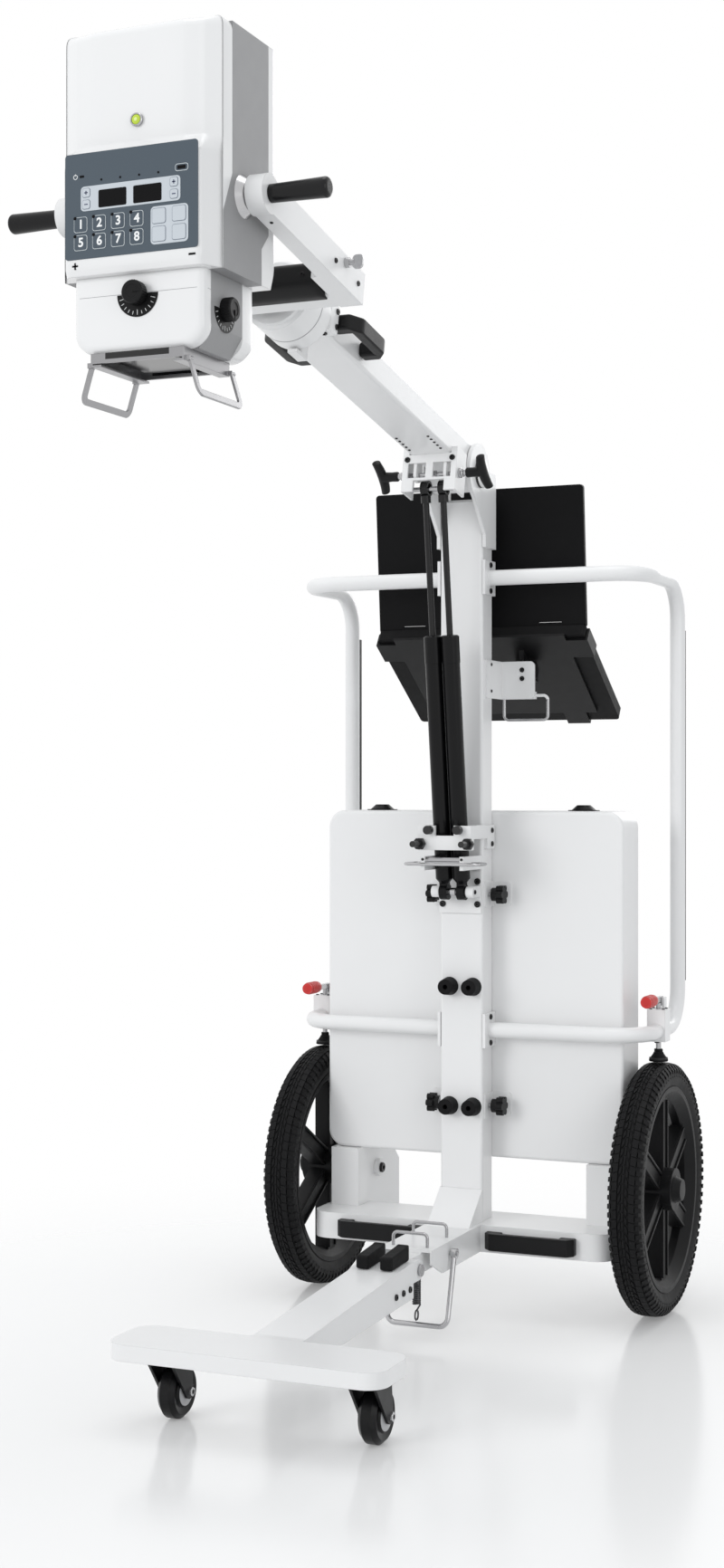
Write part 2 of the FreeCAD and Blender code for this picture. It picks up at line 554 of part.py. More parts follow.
def make_clips(case_knobs):
    clips = []
    screws = []
    for sign in (-1, 1):
        for height in ("clip_upper", "clip_lower"):
            span = (f"{height} - clip_height / 2", f"{height} + clip_height / 2")
            flange = box(side_span(sign, "column_half", "column_half + clip_thick"),
                         ("-clip_forward", "-column_back"), span)
            wing = box(side_span(sign, "column_half", "clip_reach"),
                       ("-column_back - clip_thick", "-column_back"), span)
            wing = rounded(wing, 6, along("y", lambda at: abs(at.x) > num("clip_reach") - 1))
            hole_start = side_span(sign, "column_half - 1", "column_half + clip_thick + 1")[0]
            hole = rod("x", (hole_start, "-screw_forward", height), "clip_thick + 2", "screw_radius")
            clips.append(cut(fuse(flange, wing), hole))
            start = side_span(sign, "star_start", "star_start + star_length")[0]
            lobe_start = start if sign < 0 else "star_start + star_length * 0.45"
            lobes = [rod("x", (lobe_start, f"-screw_forward + (star_radius - star_lobe) * cos({60 * turn})",
                               f"{height} + (star_radius - star_lobe) * sin({60 * turn})"),
                         "star_length * 0.55", "star_lobe")
                     for turn in range(6)]
            core = rod("x", (start, "-screw_forward", height), "star_length", "star_radius - star_lobe")
            stud_start = side_span(sign, "column_half - column_wall", "star_start + 1")[0]
            stud = rod("x", (stud_start, "-screw_forward", height),
                       "star_start + 1 - column_half + column_wall", "screw_radius - running_gap")
            screws.append(fuse(core, stud, *lobes))
    node("case_clips", clips, AXLE)
    node("hand_knobs", screws + case_knobs, AXLE)


def make_side_frames():
    frames = []
    for sign in (-1, 1):
        tube = bent_rod([(f"{sign} * (column_half + flange_thick - 1)", "-frame_forward", "frame_upper"),
                         (f"{sign} * frame_half", "-frame_forward", "frame_upper"),
                         (f"{sign} * frame_half", "frame_back", "frame_upper"),
                         (f"{sign} * frame_half", "frame_back", "frame_lower"),
                         (f"{sign} * frame_half", "-frame_forward", "frame_lower"),
                         (f"{sign} * (column_half + flange_thick - 1)", "-frame_forward", "frame_lower")],
                        "frame_bend", "frame_tube_radius")
        flanges = [box(side_span(sign, "column_half", "column_half + flange_thick"),
                       ("-frame_forward - flange_length / 2 + 6", "-frame_forward + flange_length / 2 - 6"),
                       (f"{height} - flange_height / 2", f"{height} + flange_height / 2"))
                   for height in ("frame_upper", "frame_lower")]
        bore = rod("z", (f"{sign} * frame_half", 0, "frame_lower - frame_tube_radius - 1"),
                   "2 * frame_tube_radius + 2",
                   "brake_bore")
        frames.append(cut(fuse(tube, *flanges), bore))
    node("side_frames", frames, AXLE)


def make_brakes():
    bases = []
    for name, sign in SIDES:
        centre = f"({sign} * frame_half)"
        block = box((f"{centre} - brake_base_half", f"{centre} + brake_base_half"),
                    ("-brake_base_half", "brake_base_half"),
                    ("frame_lower - frame_tube_radius - 4",
                     "frame_lower - frame_tube_radius - 4 + brake_base_height"))
        tube = rod("y", (centre, "-brake_base_half - 1", "frame_lower"), "2 * brake_base_half + 2",
                   "frame_tube_radius")
        bore = rod("z", (centre, 0, "frame_lower - brake_base_height"), "2 * brake_base_height", "brake_bore")
        ears = box((f"{centre} - lever_thick / 2 - 0.3 - lever_ear",
                    f"{centre} + lever_thick / 2 + 0.3 + lever_ear"),
                   ("lever_pin_back - 6", "lever_pin_back + 8"), ("frame_lower + 26", "plunger_top + 6"))
        slot = box((f"{centre} - lever_thick / 2 - 0.3", f"{centre} + lever_thick / 2 + 0.3"),
                   ("lever_pin_back - 30", "lever_pin_back + 30"),
                   ("frame_lower - frame_tube_radius - 4 + brake_base_height", "plunger_top + 20"))
        pin = rod("x", (f"{centre} - lever_thick / 2 - 0.3 - lever_ear", "lever_pin_back", "plunger_top"),
                  "lever_thick + 0.6 + 2 * lever_ear", "lever_pin_radius")
        bases.append(fuse(cut(fuse(block, ears), tube, bore, slot), pin))
        stem = rod("z", (0, 0, "2 * wheel_radius + foot_gap + foot_thick"),
                   "plunger_top - 2 - 2 * wheel_radius - foot_gap - foot_thick", "plunger_radius")
        foot = rod("z", (0, 0, "2 * wheel_radius + foot_gap"), "foot_thick", "foot_radius")
        collar = rod("z", (0, 0, "2 * wheel_radius + foot_gap + foot_thick"), 8, "plunger_radius + 3")
        node(f"brake_plunger_{name}", fuse(stem, foot, collar), (centre, "axle_back", 0))
        hub = rod("x", ("-lever_thick / 2", 0, 0), "lever_thick", "lever_pin_radius + 5")
        arm = box(("-lever_thick / 2", "lever_thick / 2"), ("-lever_length", 0),
                  ("-1", "lever_pin_radius + 5"))
        grip = rod("y", (0, "-lever_length - lever_grip_length + 8", "lever_pin_radius + 2"),
                   "lever_grip_length",
                   "lever_grip_radius")
        eye = rod("x", ("-lever_thick", 0, 0), "2 * lever_thick", "lever_pin_radius + running_gap")
        lever = cut(fuse(hub, arm, grip), eye)
        node(f"brake_lever_{name}", lever, (centre, "axle_back + lever_pin_back", "plunger_top"))
    node("brake_bases", bases, AXLE)


def make_column_head():
    top = "column_top"
    plates = []
    for sign in (-1, 1):
        span = side_span(sign, "column_half", "column_half + cheek_thick")
        tongue = box(span, ("-column_front", "-column_back"), ("cheek_foot", "pivot_height"))
        disc = rod("x", (span[0], "-pivot_forward", "pivot_height"), "cheek_thick", "cheek_radius")
        shoulder = extrude("yz", [("-column_front", "pivot_height - 96"),
                                  ("-column_front + 1", "pivot_height + cheek_radius * 0.7"),
                                  ("-pivot_forward + 10", "pivot_height + cheek_radius * 0.9"),
                                  ("-pivot_forward - cheek_radius * 0.8",
                                   "pivot_height - cheek_radius * 0.55")],
                           span[0], "cheek_thick")
        back = box(span, ("-column_front", "-column_back"), ("pivot_height - 1", "pivot_height + cap_rise"))
        back_top = num("pivot_height + cap_rise")
        back = rounded(back, "cap_rise - 0.5",
                       along("x", lambda at: at.z > back_top - 0.1 and at.y > -num("column_front") + 1))
        plates.append(fuse(tongue, disc, shoulder, back))
    cap = box(("-column_half", "column_half"), ("-column_front + 8", "-column_back"), (top, f"{top} + 4"))
    pin = rod("x", ("-column_half - cheek_thick - lift_cap_thick", "-pivot_forward", "pivot_height"),
              "2 * (column_half + cheek_thick + lift_cap_thick)", "lift_pin_radius - running_gap")
    caps = [rod("x", (side_span(sign, "column_half + cheek_thick",
                                "column_half + cheek_thick + lift_cap_thick")[0],
                      "-pivot_forward", "pivot_height"), "lift_cap_thick", "lift_pin_cap") for sign in (-1,
                                                                                                        1)]
    node("column_head", fuse(*plates, cap, pin, *caps), AXLE)


def make_boom():
    low = "-boom_under"
    high = "boom_height - boom_under"
    tube = box(("-boom_half", "boom_half"), ("-boom_front", "-boom_rear"), (low, high))
    tube = rounded(tube, "boom_corner", along("y"))
    room = box(("boom_wall - boom_half", "boom_half - boom_wall"), ("-boom_front - 1", "-lug_radius - 12"),
               (f"{low} + boom_wall", f"{high} - boom_wall"))
    lug = rod("x", ("-boom_half", 0, 0), "2 * boom_half", "lug_radius")
    block = box(("-end_block_half", "end_block_half"), ("-block_front", "-boom_front"),
                ("-end_block_low", "end_block_high"))
    block = rounded(block, 4, along("y"))
    hook_low = "(-end_block_low - hook_drop)"
    hook = fuse(box(("-hook_half", "hook_half"), ("-block_front + 2", "-boom_front - 2"),
                    (hook_low, "-end_block_low + 1")),
                box(("-hook_half", "hook_half"), ("-block_front - hook_lip", "-boom_front - 2"),
                    (hook_low, f"{hook_low} + hook_thick")))
    bore = rod("x", ("-boom_half - 1", 0, 0), "2 * boom_half + 2", "lift_pin_radius")
    node("boom", cut(fuse(cut(tube, room), lug, block, hook), bore), LIFT_PIN, "-boom_angle")
    housing = revolve([("-housing_front", "swivel_bore"), ("-housing_front", "housing_ring"),
                       ("-housing_front + 7", "housing_ring"), ("-housing_front + 9", "housing_radius"),
                       ("-block_front", "housing_radius"), ("-block_front", "swivel_bore")])
    housing.Placement = FreeCAD.Placement(FreeCAD.Vector(0, 0, 0),
                                          FreeCAD.Rotation(FreeCAD.Vector(0, 0, 1), 90))
    place(housing, 0, 0, "swivel_lift")
    node("swivel_housing", housing, LIFT_PIN, "-boom_angle")
    grips = []
    for sign in (-1, 1):
        near = f"({sign} * boom_half)"
        far = f"({sign} * (boom_half + handle_out))"
        body = extrude("xy", [(near, "-handle_front"),
                              (f"{near} + {sign} * (handle_out - 14)", "-handle_front"),
                              (far, "-handle_front + 20"), (far, "-handle_rear - 20"),
                              (f"{near} + {sign} * (handle_out - 14)", "-handle_rear"),
                              (near, "-handle_rear")],
                       "swivel_lift - handle_bar / 2", "handle_bar")
        gap = box(side_span(sign, "boom_half - 1", "boom_half + handle_out - 16"),
                  ("-handle_front + handle_foot - 8", "-handle_rear - handle_foot + 8"),
                  ("swivel_lift - 30", "swivel_lift + 30"))
        grips.append(cut(body, gap))
    node("boom_handles", grips, LIFT_PIN, "-boom_angle")


def make_strut_bracket():
    top = "-boom_under"
    floor = "-bracket_drop"
    sides = [box(side_span(sign, "bracket_half - bracket_wall", "bracket_half"),
                 ("-bracket_front", "-bracket_rear"), (floor, "bracket_rise"))
             for sign in (-1, 1)]
    webs = [box(side_span(sign, "boom_half", "bracket_half"), ("-bracket_front", "-bracket_rear"),
                (top, "bracket_rise"))
            for sign in (-1, 1)]
    front = box(("-bracket_half", "bracket_half"), ("-bracket_front", "-bracket_front + bracket_wall"),
                (floor, top))
    front_part = cut(front, *[box(side_span(sign, "window_inner", "bracket_half - window_side"),
                                  ("-bracket_front - 1", "-bracket_front + bracket_wall + 1"),
                                  (f"{floor} + window_low", f"{top} - window_top")) for sign in (-1, 1)],
                     box(("-recess_half", "recess_half"),
                         ("-bracket_front - 1", "-bracket_front + bracket_wall + 1"),
                         (f"{floor} - 1", f"{floor} + recess_rise")))
    pin = rod("x", ("-bracket_half", "-anchor_along", "-anchor_drop"), "2 * bracket_half",
              "anchor_pin_radius")
    holes = [rod("x", (side_span(sign, "bracket_half - 20", "bracket_half + 1")[0], "-knob_along",
                       "-knob_drop"), 21, "knob_bore")
             for sign in (-1, 1)]
    node("strut_bracket", fuse(cut(fuse(*sides, *webs, front_part), *holes), pin), LIFT_PIN, "-boom_angle")
    for name, sign in SIDES:
        stem = rod("x", (side_span(sign, "bracket_half - 12", "tee_x")[0], "-knob_along", "-knob_drop"),
                   "tee_x - bracket_half + 12", "knob_stem_radius")
        collar = rod("x", (side_span(sign, "bracket_half + 0.3", "bracket_half + 0.3 + knob_collar")[0],
                           "-knob_along", "-knob_drop"),
                     "knob_collar", "knob_collar_radius")
        bar = rod("z", (f"{sign} * tee_x", "-knob_along + tee_length / 2 * sin(tee_turn)",
                        "-knob_drop - tee_length / 2 * cos(tee_turn)"), "tee_length", "tee_radius")
        bar.Placement.Rotation = FreeCAD.Rotation(FreeCAD.Vector(1, 0, 0), num("tee_turn"))
        root = rod("x", (side_span(sign, "tee_x - tee_radius - 12", "tee_x")[0], "-knob_along", "-knob_drop"),
                   "tee_radius + 12", "knob_stem_radius + 3")
        node(f"pull_knob_{name}", fuse(stem, collar, bar, root), LIFT_PIN, "-boom_angle")


def make_struts():
    cylinders = []
    rods = []
    for sign in (-1, 1):
        middle = f"{sign} * strut_x"
        body = rod("z", (middle, 0, "strut_low"), "strut_long", "strut_radius")
        room = rod("z", (middle, 0, "strut_low + 12"), "strut_long", "strut_rod_radius + 0.3")
        taper = cone("z", (middle, 0, "strut_low - 8"), 8, "eye_width / 2 + 1", "strut_radius")
        neck = box((f"{middle} - eye_width / 2", f"{middle} + eye_width / 2"), ("-7", "7"), (0, "strut_low"))
        eye = rod("x", (f"{middle} - eye_width / 2", 0, 0), "eye_width", "eye_radius")
        bore = rod("x", (f"{middle} - eye_width", 0, 0), "2 * eye_width", "foot_pin_radius + running_gap")
        cylinders.append(cut(fuse(body, taper, neck, eye), room, bore))
        top = f"{STRUT_LENGTH} + eye_shift_up"
        shaft = rod("z", (middle, 0, "strut_low + strut_long - rod_inside"),
                    f"{top} - rod_eye_radius + 2 - strut_low - strut_long + rod_inside", "strut_rod_radius")
        ring = rod("x", (f"{middle} - rod_eye_width / 2", "eye_shift_back", top), "rod_eye_width",
                   "rod_eye_radius")
        hole = rod("x", (f"{middle} - rod_eye_width", "eye_shift_back", top), "2 * rod_eye_width",
                   "rod_eye_bore")
        pad = rod("z", (middle, 0, f"{top} - rod_eye_radius - 10"), 12, "strut_rod_radius + 3")
        rods.append(cut(fuse(shaft, ring, pad), hole))
    node("strut_cylinders", cylinders, STRUT_FOOT, STRUT_LEAN)
    node("strut_rods", rods, STRUT_FOOT, STRUT_LEAN)
    plate = box(("-foot_plate_half", "foot_plate_half"), ("-column_front - foot_plate", "-column_front"),
                ("foot_plate_low", "foot_plate_high"))
    arms = [box(side_span(sign, "boss_inner + 2", "boss_outer - 2"),
                ("-foot_forward", "-column_front - foot_plate + 1"),
                ("foot_height - boss_radius", "foot_height + boss_radius")) for sign in (-1, 1)]
    bosses = [rod("x", (side_span(sign, "boss_inner", "boss_outer")[0], "-foot_forward", "foot_height"),
                  "boss_outer - boss_inner", "boss_radius") for sign in (-1, 1)]
    pin = rod("x", ("-boss_outer", "-foot_forward", "foot_height"), "2 * boss_outer", "foot_pin_radius")
    node("strut_foot", fuse(plate, *arms, *bosses, pin), AXLE)


def make_latch():
    front = box(("-latch_half", "latch_half"), ("-latch_forward", "latch_thick - latch_forward"),
                ("latch_low", "latch_high"))
    notch = box(("-notch_half", "notch_half"), ("-latch_forward - 1", "latch_thick - latch_forward + 1"),
                ("latch_high - notch_deep", "latch_high + 1"))
    sides = []
    for sign in (-1, 1):
        span = side_span(sign, "column_half", "column_half + latch_side")
        sides.append(box(span, ("-latch_forward + 1", "-latch_back"), ("latch_high - 22", "latch_high")))
        sides.append(box(span, ("-column_front + 10", "-latch_back"), ("latch_low", "latch_high")))
        sides.append(box(side_span(sign, "column_half", "latch_half"),
                         ("-latch_forward", "latch_thick - latch_forward + 8"),
                         ("latch_low", "latch_high")))
    studs = []
    for sign in (-1, 1):
        studs.append(rod("y", (f"{sign} * bumper_x", "-latch_forward - 12", "bumper_z"), 13, "bumper_radius"))
        studs.append(rod("y", (f"{sign} * stud_x", "-latch_forward - stud_length", "stud_z"),
                         "stud_length + 1", "stud_radius"))
        studs.append(rod("y", (f"{sign} * stud_x", "-latch_forward - nut_thick", "stud_z"), "nut_thick + 1",
                         "nut_radius"))
    arms = [box(side_span(sign, "catch_inner", "catch_outer"), ("-catch_forward", "-column_front"),
                ("catch_low", "catch_high"))
            for sign in (-1, 1)]
    tube = rod("x", ("-catch_inner - 1", "-catch_forward + catch_tube_radius + 1",
                     "catch_high - catch_tube_radius - 1"),
               "2 * catch_inner + 2", "catch_tube_radius")
    bore = rod("x", ("-bail_half", "-bail_back", "bail_z"), "2 * bail_half", "bail_radius + running_gap")
    node("latch_plate", [fuse(cut(front, notch), *sides, *studs), cut(fuse(*arms, tube), bore)], AXLE)
    half = "(bail_half - bail_radius)"
    tip = "(catch_inner + 1)"
    bail = bent_rod([(f"-{tip}", 0, 0), (f"-{half}", 0, 0), (f"-{half}", "bail_back - bail_front", 0),
                     (half, "bail_back - bail_front", 0), (half, 0, 0), (tip, 0, 0)], "bail_bend",
                    "bail_radius")
    node("wire_bail", bail, (0, "axle_back - bail_back", "bail_z"))


def make_cone_bumpers():
    cones = []
    for sign in (-1, 1):
        for height in ("cone_upper", "cone_lower"):
            body = cone("y", (f"{sign} * cone_x", "-column_front - cone_length", height), "cone_length",
                        "cone_tip", "cone_base")
            hole = rod("y", (f"{sign} * cone_x", "-column_front - cone_length - 1", height),
                       "cone_length - 6", "cone_hole")
            cones.append(cut(body, hole))
    node("cone_bumpers", cones, AXLE)


def make_foot_loop():
    path = [("-foot_half", 0, "foot_wire"), ("-foot_half", "-foot_swing", "foot_low - foot_pivot_height"),
            ("foot_half", "-foot_swing", "foot_low - foot_pivot_height"), ("foot_half", 0, "foot_wire")]
    wire = bent_rod(path, "foot_bend", "foot_wire")
    eyes = [rod("x", (f"{sign} * foot_half - foot_wire", 0, 0), "2 * foot_wire",
                "foot_wire * 2") for sign in (-1, 1)]
    bore = rod("x", ("-foot_half - 20", 0, 0), "2 * foot_half + 40", "foot_wire - 0.5 + running_gap")
    node("foot_loop", cut(fuse(wire, *eyes), bore),
         (0, "axle_back - foot_pivot_forward", "foot_pivot_height"))
    rise = num("leg_pin_height - tongue_radius - foot_low - foot_wire - 2 * spring_gap")
    end = num("spring_end")
    turns = coded(coil(num("spring_radius"), rise - 2 * end, int(num("spring_turns")), num("spring_wire")))
    turns.Placement.Base = FreeCAD.Vector(0, 0, end)
    tails = [rod("z", ("spring_radius", 0, low), "spring_end", "spring_wire * 0.9")
             for low in (0, f"{rise} - spring_end")]
    node("foot_spring", [turns, *tails],
         (0, "axle_back - foot_pivot_forward - foot_swing", "foot_low + foot_wire + spring_gap"))


def make_rear_wheels():
    for name, sign in SIDES:
        centre = (f"{sign} * wheel_track", "axle_back", "wheel_radius")
        bead = "(wheel_radius - tyre_depth)"
        tyre = revolve([("-rim_width / 2", bead), ("-tyre_width / 2", "wheel_radius - tyre_shoulder"),
                        ("-tyre_width / 2 + tyre_round", "wheel_radius - tyre_curve"),
                        ("-tyre_width / 4", "wheel_radius - tyre_crown"), (0, "wheel_radius"),
                        ("tyre_width / 4", "wheel_radius - tyre_crown"),
                        ("tyre_width / 2 - tyre_round", "wheel_radius - tyre_curve"),
                        ("tyre_width / 2", "wheel_radius - tyre_shoulder"), ("rim_width / 2", bead)])
        node(f"tyre_{name}", tyre, centre)
        outer = f"({bead} - rim_gap)"
        ring = revolve([("-rim_width / 2", outer), ("-rim_width / 2", f"{outer} - rim_lip"),
                        ("-spoke_thick / 2 + rim_taper", f"{outer} - rim_depth"),
                        ("spoke_thick / 2 - rim_taper", f"{outer} - rim_depth"),
                        ("rim_width / 2", f"{outer} - rim_lip"), ("rim_width / 2", outer)])
        spokes = []
        for turn in range(int(num("spoke_count"))):
            bar = doc.addObject("Part::Box", "spoke")
            bind(bar, Length="spoke_thick", Width="spoke_width",
                 Height=f"{outer} - rim_depth / 2 - hub_radius / 2")
            turned = FreeCAD.Rotation(FreeCAD.Vector(1, 0, 0), turn * 360 / num("spoke_count"))
            bar.Placement = FreeCAD.Placement(turned.multVec(point("-spoke_thick / 2", "-spoke_width / 2",
                                                                   "hub_radius / 2")), turned)
            spokes.append(bar)
        hub = rod("x", ("-hub_width / 2", 0, 0), "hub_width", "hub_radius")
        cap = cone("x", ("hub_width / 2 - 0.5", 0, 0), "hub_cap_depth", "hub_cap_radius",
                   "hub_cap_radius - 5")
        if sign < 0:
            cap = cone("x", ("-hub_width / 2 + 0.5 - hub_cap_depth", 0, 0), "hub_cap_depth",
                       "hub_cap_radius - 5", "hub_cap_radius")
        bore_start = "-hub_width / 2 - 1" if sign > 0 else "-hub_width / 2 - hub_cap_depth / 2 - 1"
        bore = rod("x", (bore_start, 0, 0), "hub_width + hub_cap_depth / 2 + 2", "axle_radius")
        node(f"rim_{name}", cut(fuse(ring, *spokes, hub, cap), bore), centre)


def make_leg():
    nose = "(leg_pin_forward + leg_root)"
    profile = [(f"-{nose}", "leg_root_bottom"), ("-leg_low_forward", "leg_low_bottom"),
               ("-leg_bar_back - 6", "leg_bar_bottom"),
               ("-leg_bar_back - 6", "leg_bar_top - 2"), ("-leg_bar_back + 19", "leg_bar_top - 2"),
               (f"-{nose} - 16", "leg_top"),
               (f"-{nose}", "leg_top")]
    tube = extrude("yz", profile, "-leg_half", "2 * leg_half")
    inside = [(f"-{nose} - leg_wall - 14", "leg_root_bottom + leg_wall"),
              ("-leg_low_forward", "leg_low_bottom + leg_wall"),
              ("-leg_bar_back + 20", "leg_bar_bottom - 2"),
              ("-leg_bar_back + 22", "leg_bar_top - leg_wall - 4"),
              (f"-{nose} - leg_wall - 14", "leg_top - leg_wall - 1")]
    room = extrude("yz", inside, "leg_wall - leg_half", "2 * (leg_half - leg_wall)")
    bar = box(("-leg_bar_half", "leg_bar_half"), ("-leg_bar_front", "-leg_bar_back"),
              ("leg_bar_bottom", "leg_bar_top"))
    bar = rounded(bar, "leg_bar_corner", along("z"))
    cheeks = []
    for sign in (-1, 1):
        span = side_span(sign, "tongue_half + leg_side_gap", "leg_half")
        cheeks.append(box(span, (f"-{nose} - 1", "-leg_pin_forward"),
                          ("leg_pin_height - tongue_radius", "leg_top - 1")))
        cheeks.append(rod("x", (span[0], "-leg_pin_forward", "leg_pin_height"),
                          "leg_half - tongue_half - leg_side_gap",
                          "tongue_radius"))
    hole = rod("x", ("-leg_half - 1", "-leg_pin_forward", "leg_pin_height"), "2 * leg_half + 2",
               "leg_pin_radius + running_gap")
    bores = [rod("z", (f"{sign} * caster_x", "-caster_forward", "leg_bar_bottom - 1"),
                 "leg_bar_top - leg_bar_bottom - 4",
                 "stem_radius + running_gap") for sign in (-1, 1)]
    node("leg", cut(fuse(cut(tube, room), bar, *cheeks), hole, *bores), AXLE)
    start = "(leg_pin_forward + block_start)"
    blocks = []
    for sign in (-1, 1):
        span = side_span(sign, "block_inner", "block_inner + block_width")
        slope = extrude("yz", [(f"-{start}", "leg_top"), (f"-{start}", "leg_top + block_high - 3"),
                               (f"-{start} - 12", "leg_top + block_high - 5"),
                               (f"-{start} - block_length", "leg_top + block_low"),
                               (f"-{start} - block_length", "leg_top - 2")],
                        span[0], "block_width")
        cutter = extrude("yz", [(f"-{start}", "leg_top - 40"), (f"-{nose} - 16", "leg_top - 40"),
                                (f"-{nose} - 16", "leg_top"),
                                (f"-{start}", "leg_top")], "-leg_half", "2 * leg_half")
        wedge = extrude("yz", [(f"-{nose} - 16", "leg_top"), ("-leg_bar_back + 19", "leg_bar_top - 2"),
                               ("-leg_bar_back", "leg_top - 60"),
                               (f"-{nose} - 16", "leg_top - 60")], "-leg_half", "2 * leg_half")
        blocks.append(cut(slope, cutter, wedge))
    node("leg_blocks", blocks, AXLE)


def make_casters():
    for name, sign in SIDES:
        centre = (f"{sign} * caster_x", "axle_back - caster_forward", 0)
        top = "leg_bar_bottom"
        stem = rod("z", (0, 0, f"{top} - 1"), "leg_bar_top - leg_bar_bottom - 8", "stem_radius")
        race = rod("z", (0, 0, f"{top} - 0.3 - caster_plate * 2"), "caster_plate * 2", "caster_plate_radius")
        collar = rod("z", (0, 0, f"{top} - 2"), 1.7, "stem_radius + 4")
        half = "(caster_width / 2 + fork_gap)"
        crown = box((f"-{half} - fork_wall", f"{half} + fork_wall"),
                    ("-caster_plate_radius + 4", "caster_plate_radius + 4"),
                    (f"{top} - 0.3 - caster_plate * 3", f"{top} - 1 - caster_plate * 2"))
        cheeks = []
        for edge in (-1, 1):
            span = side_span(edge, half, f"{half} + fork_wall")
            cheeks.append(extrude("yz", [("-caster_plate_radius + 4", f"{top} - 6 - caster_plate"),
                                         ("caster_trail - 9", "caster_radius - 5"),
                                         ("caster_trail + 9", "caster_radius - 5"),
                                         ("caster_plate_radius + 8", f"{top} - 6 - caster_plate")],
                                  span[0], "fork_wall"))
            cheeks.append(rod("x", (span[0], "caster_trail", "caster_radius"), "fork_wall",
                              "caster_axle_radius + 6"))
        axle = rod("x", (f"-{half} - fork_wall - 4", "caster_trail", "caster_radius"),
                   f"2 * ({half} + fork_wall + 4)",
                   "caster_axle_radius")
        clear = rod("x", (f"-{half}", "caster_trail", "caster_radius"), f"2 * {half}", "caster_radius + 3")
        shell = cut(fuse(stem, race, collar, crown, *cheeks), clear)
        node(f"caster_fork_{name}", fuse(shell, axle), centre)
        wheel = revolve([("-caster_width / 2", "caster_axle_radius + running_gap"),
                         ("-caster_width / 2", "caster_hub_radius"),
                         ("-caster_width / 2 + 3", "caster_hub_radius + 2"),
                         ("-caster_width / 2 + 1", "caster_radius - 6"),
                         ("-caster_width / 4", "caster_radius"), ("caster_width / 4", "caster_radius"),
                         ("caster_width / 2 - 1", "caster_radius - 6"),
                         ("caster_width / 2 - 3", "caster_hub_radius + 2"),
                         ("caster_width / 2", "caster_hub_radius"),
                         ("caster_width / 2", "caster_axle_radius + running_gap")])
        node(f"caster_wheel_{name}", wheel, (f"{sign} * caster_x",
                                             "axle_back - caster_forward + caster_trail", "caster_radius"))


def make_yoke():
    bar = box(("-arm_outer", "arm_outer"), ("-bar_front", "-bar_rear"),
              ("-bar_half_height", "bar_half_height"))
    bar = rounded(bar, 4, along("x"))
    arms = []
    for sign in (-1, 1):
        span = side_span(sign, "arm_inner", "arm_outer")
        arms.append(box(span, ("-head_reach", "-bar_rear"), ("-arm_width", "arm_width")))
        arms.append(rod("x", (span[0], "-head_reach", 0), "arm_outer - arm_inner", "arm_radius"))
        arms.append(box(side_span(sign, "arm_inner - 8", "arm_outer"), ("-bar_front - 55", "-bar_rear"),
                        ("-arm_width", "arm_width")))
    bores = [rod("x", (side_span(sign, "arm_inner - 1", "arm_outer + 1")[0], "-head_reach", 0),
                 "arm_outer - arm_inner + 2",
                 "arm_bore - running_gap") for sign in (-1, 1)]
    screw = rod("x", ("arm_outer - 14", "-screw_along", "-screw_drop"), 15, "screw_bore")
    spindle = rod("y", (0, "-housing_front - swivel_gap", "swivel_lift"),
                  "housing_front + swivel_gap - block_front - 1", "spindle_radius")
    hub = rod("y", (0, "-bar_rear - 1", "swivel_lift"), "bar_rear + 1 - housing_front - swivel_gap",
              "hub_radius_black")
    node("yoke", cut(fuse(bar, *arms), *bores, screw), LIFT_PIN, "-boom_angle")
    trim = box(("-arm_outer", "arm_outer"), ("-bar_front", "-bar_rear"),
               ("-bar_half_height", "bar_half_height"))
    node("swivel_hub", cut(fuse(hub, spindle), trim), LIFT_PIN, "-boom_angle")
    pad = box(("-pad_half", "pad_half"), ("-bar_front - pad_depth", "-bar_front"),
              ("-pad_radius", "pad_radius"))
    pad = rounded(pad, "pad_depth - 2", along("z", lambda at: at.y < -num("bar_front") - 1))
    pad = rounded(pad, 5, lambda edge: (abs(edge.CenterOfMass.z) > num("pad_radius") - 0.1
                                        and edge.CenterOfMass.y < -num("bar_front") - 1))
    node("yoke_pad", pad, LIFT_PIN, "-boom_angle")
    stem = rod("x", ("arm_outer - 13", 0, 0), "screw_stem_length + 13", "screw_stem")
    wing = box(("arm_outer + screw_stem_length - 2", "arm_outer + screw_stem_length + wing_length"),
               ("-wing_thick / 2", "wing_thick / 2"),
               ("-wing_width / 2", "wing_width / 2"))
    wing = rounded(wing, 5, along("y"))
    collar = rod("x", ("arm_outer + 0.3", 0, 0), 6, "screw_stem + 2.5")
    screw_at = (0, "axle_back - pivot_forward - screw_along * cos(boom_angle) - screw_drop * sin(boom_angle)",
                "pivot_height + screw_along * sin(boom_angle) - screw_drop * cos(boom_angle)")
    node("yoke_screw", fuse(stem, wing, collar), screw_at, "-boom_angle")


def head_face(front_shift, inset):
    """Side outline of the front cover, moved inwards by a wall."""
    return [("-seam_front", f"head_top - {inset}"), (f"-face_front + {front_shift}", f"head_top - {inset}"),
            (f"-face_front + {front_shift}", "face_step_high"),
            (f"-panel_front + {front_shift}", "face_step_low"),
            (f"-panel_front + {front_shift}", f"lip_rise - head_low + {inset}"),
            (f"-panel_front + lip_back + {front_shift}", f"-head_low + {inset}"),
            ("-seam_low_front", f"-head_low + {inset}"),
            ("-seam_low_front", "-seam_low"), ("-seam_front", "seam_high")]


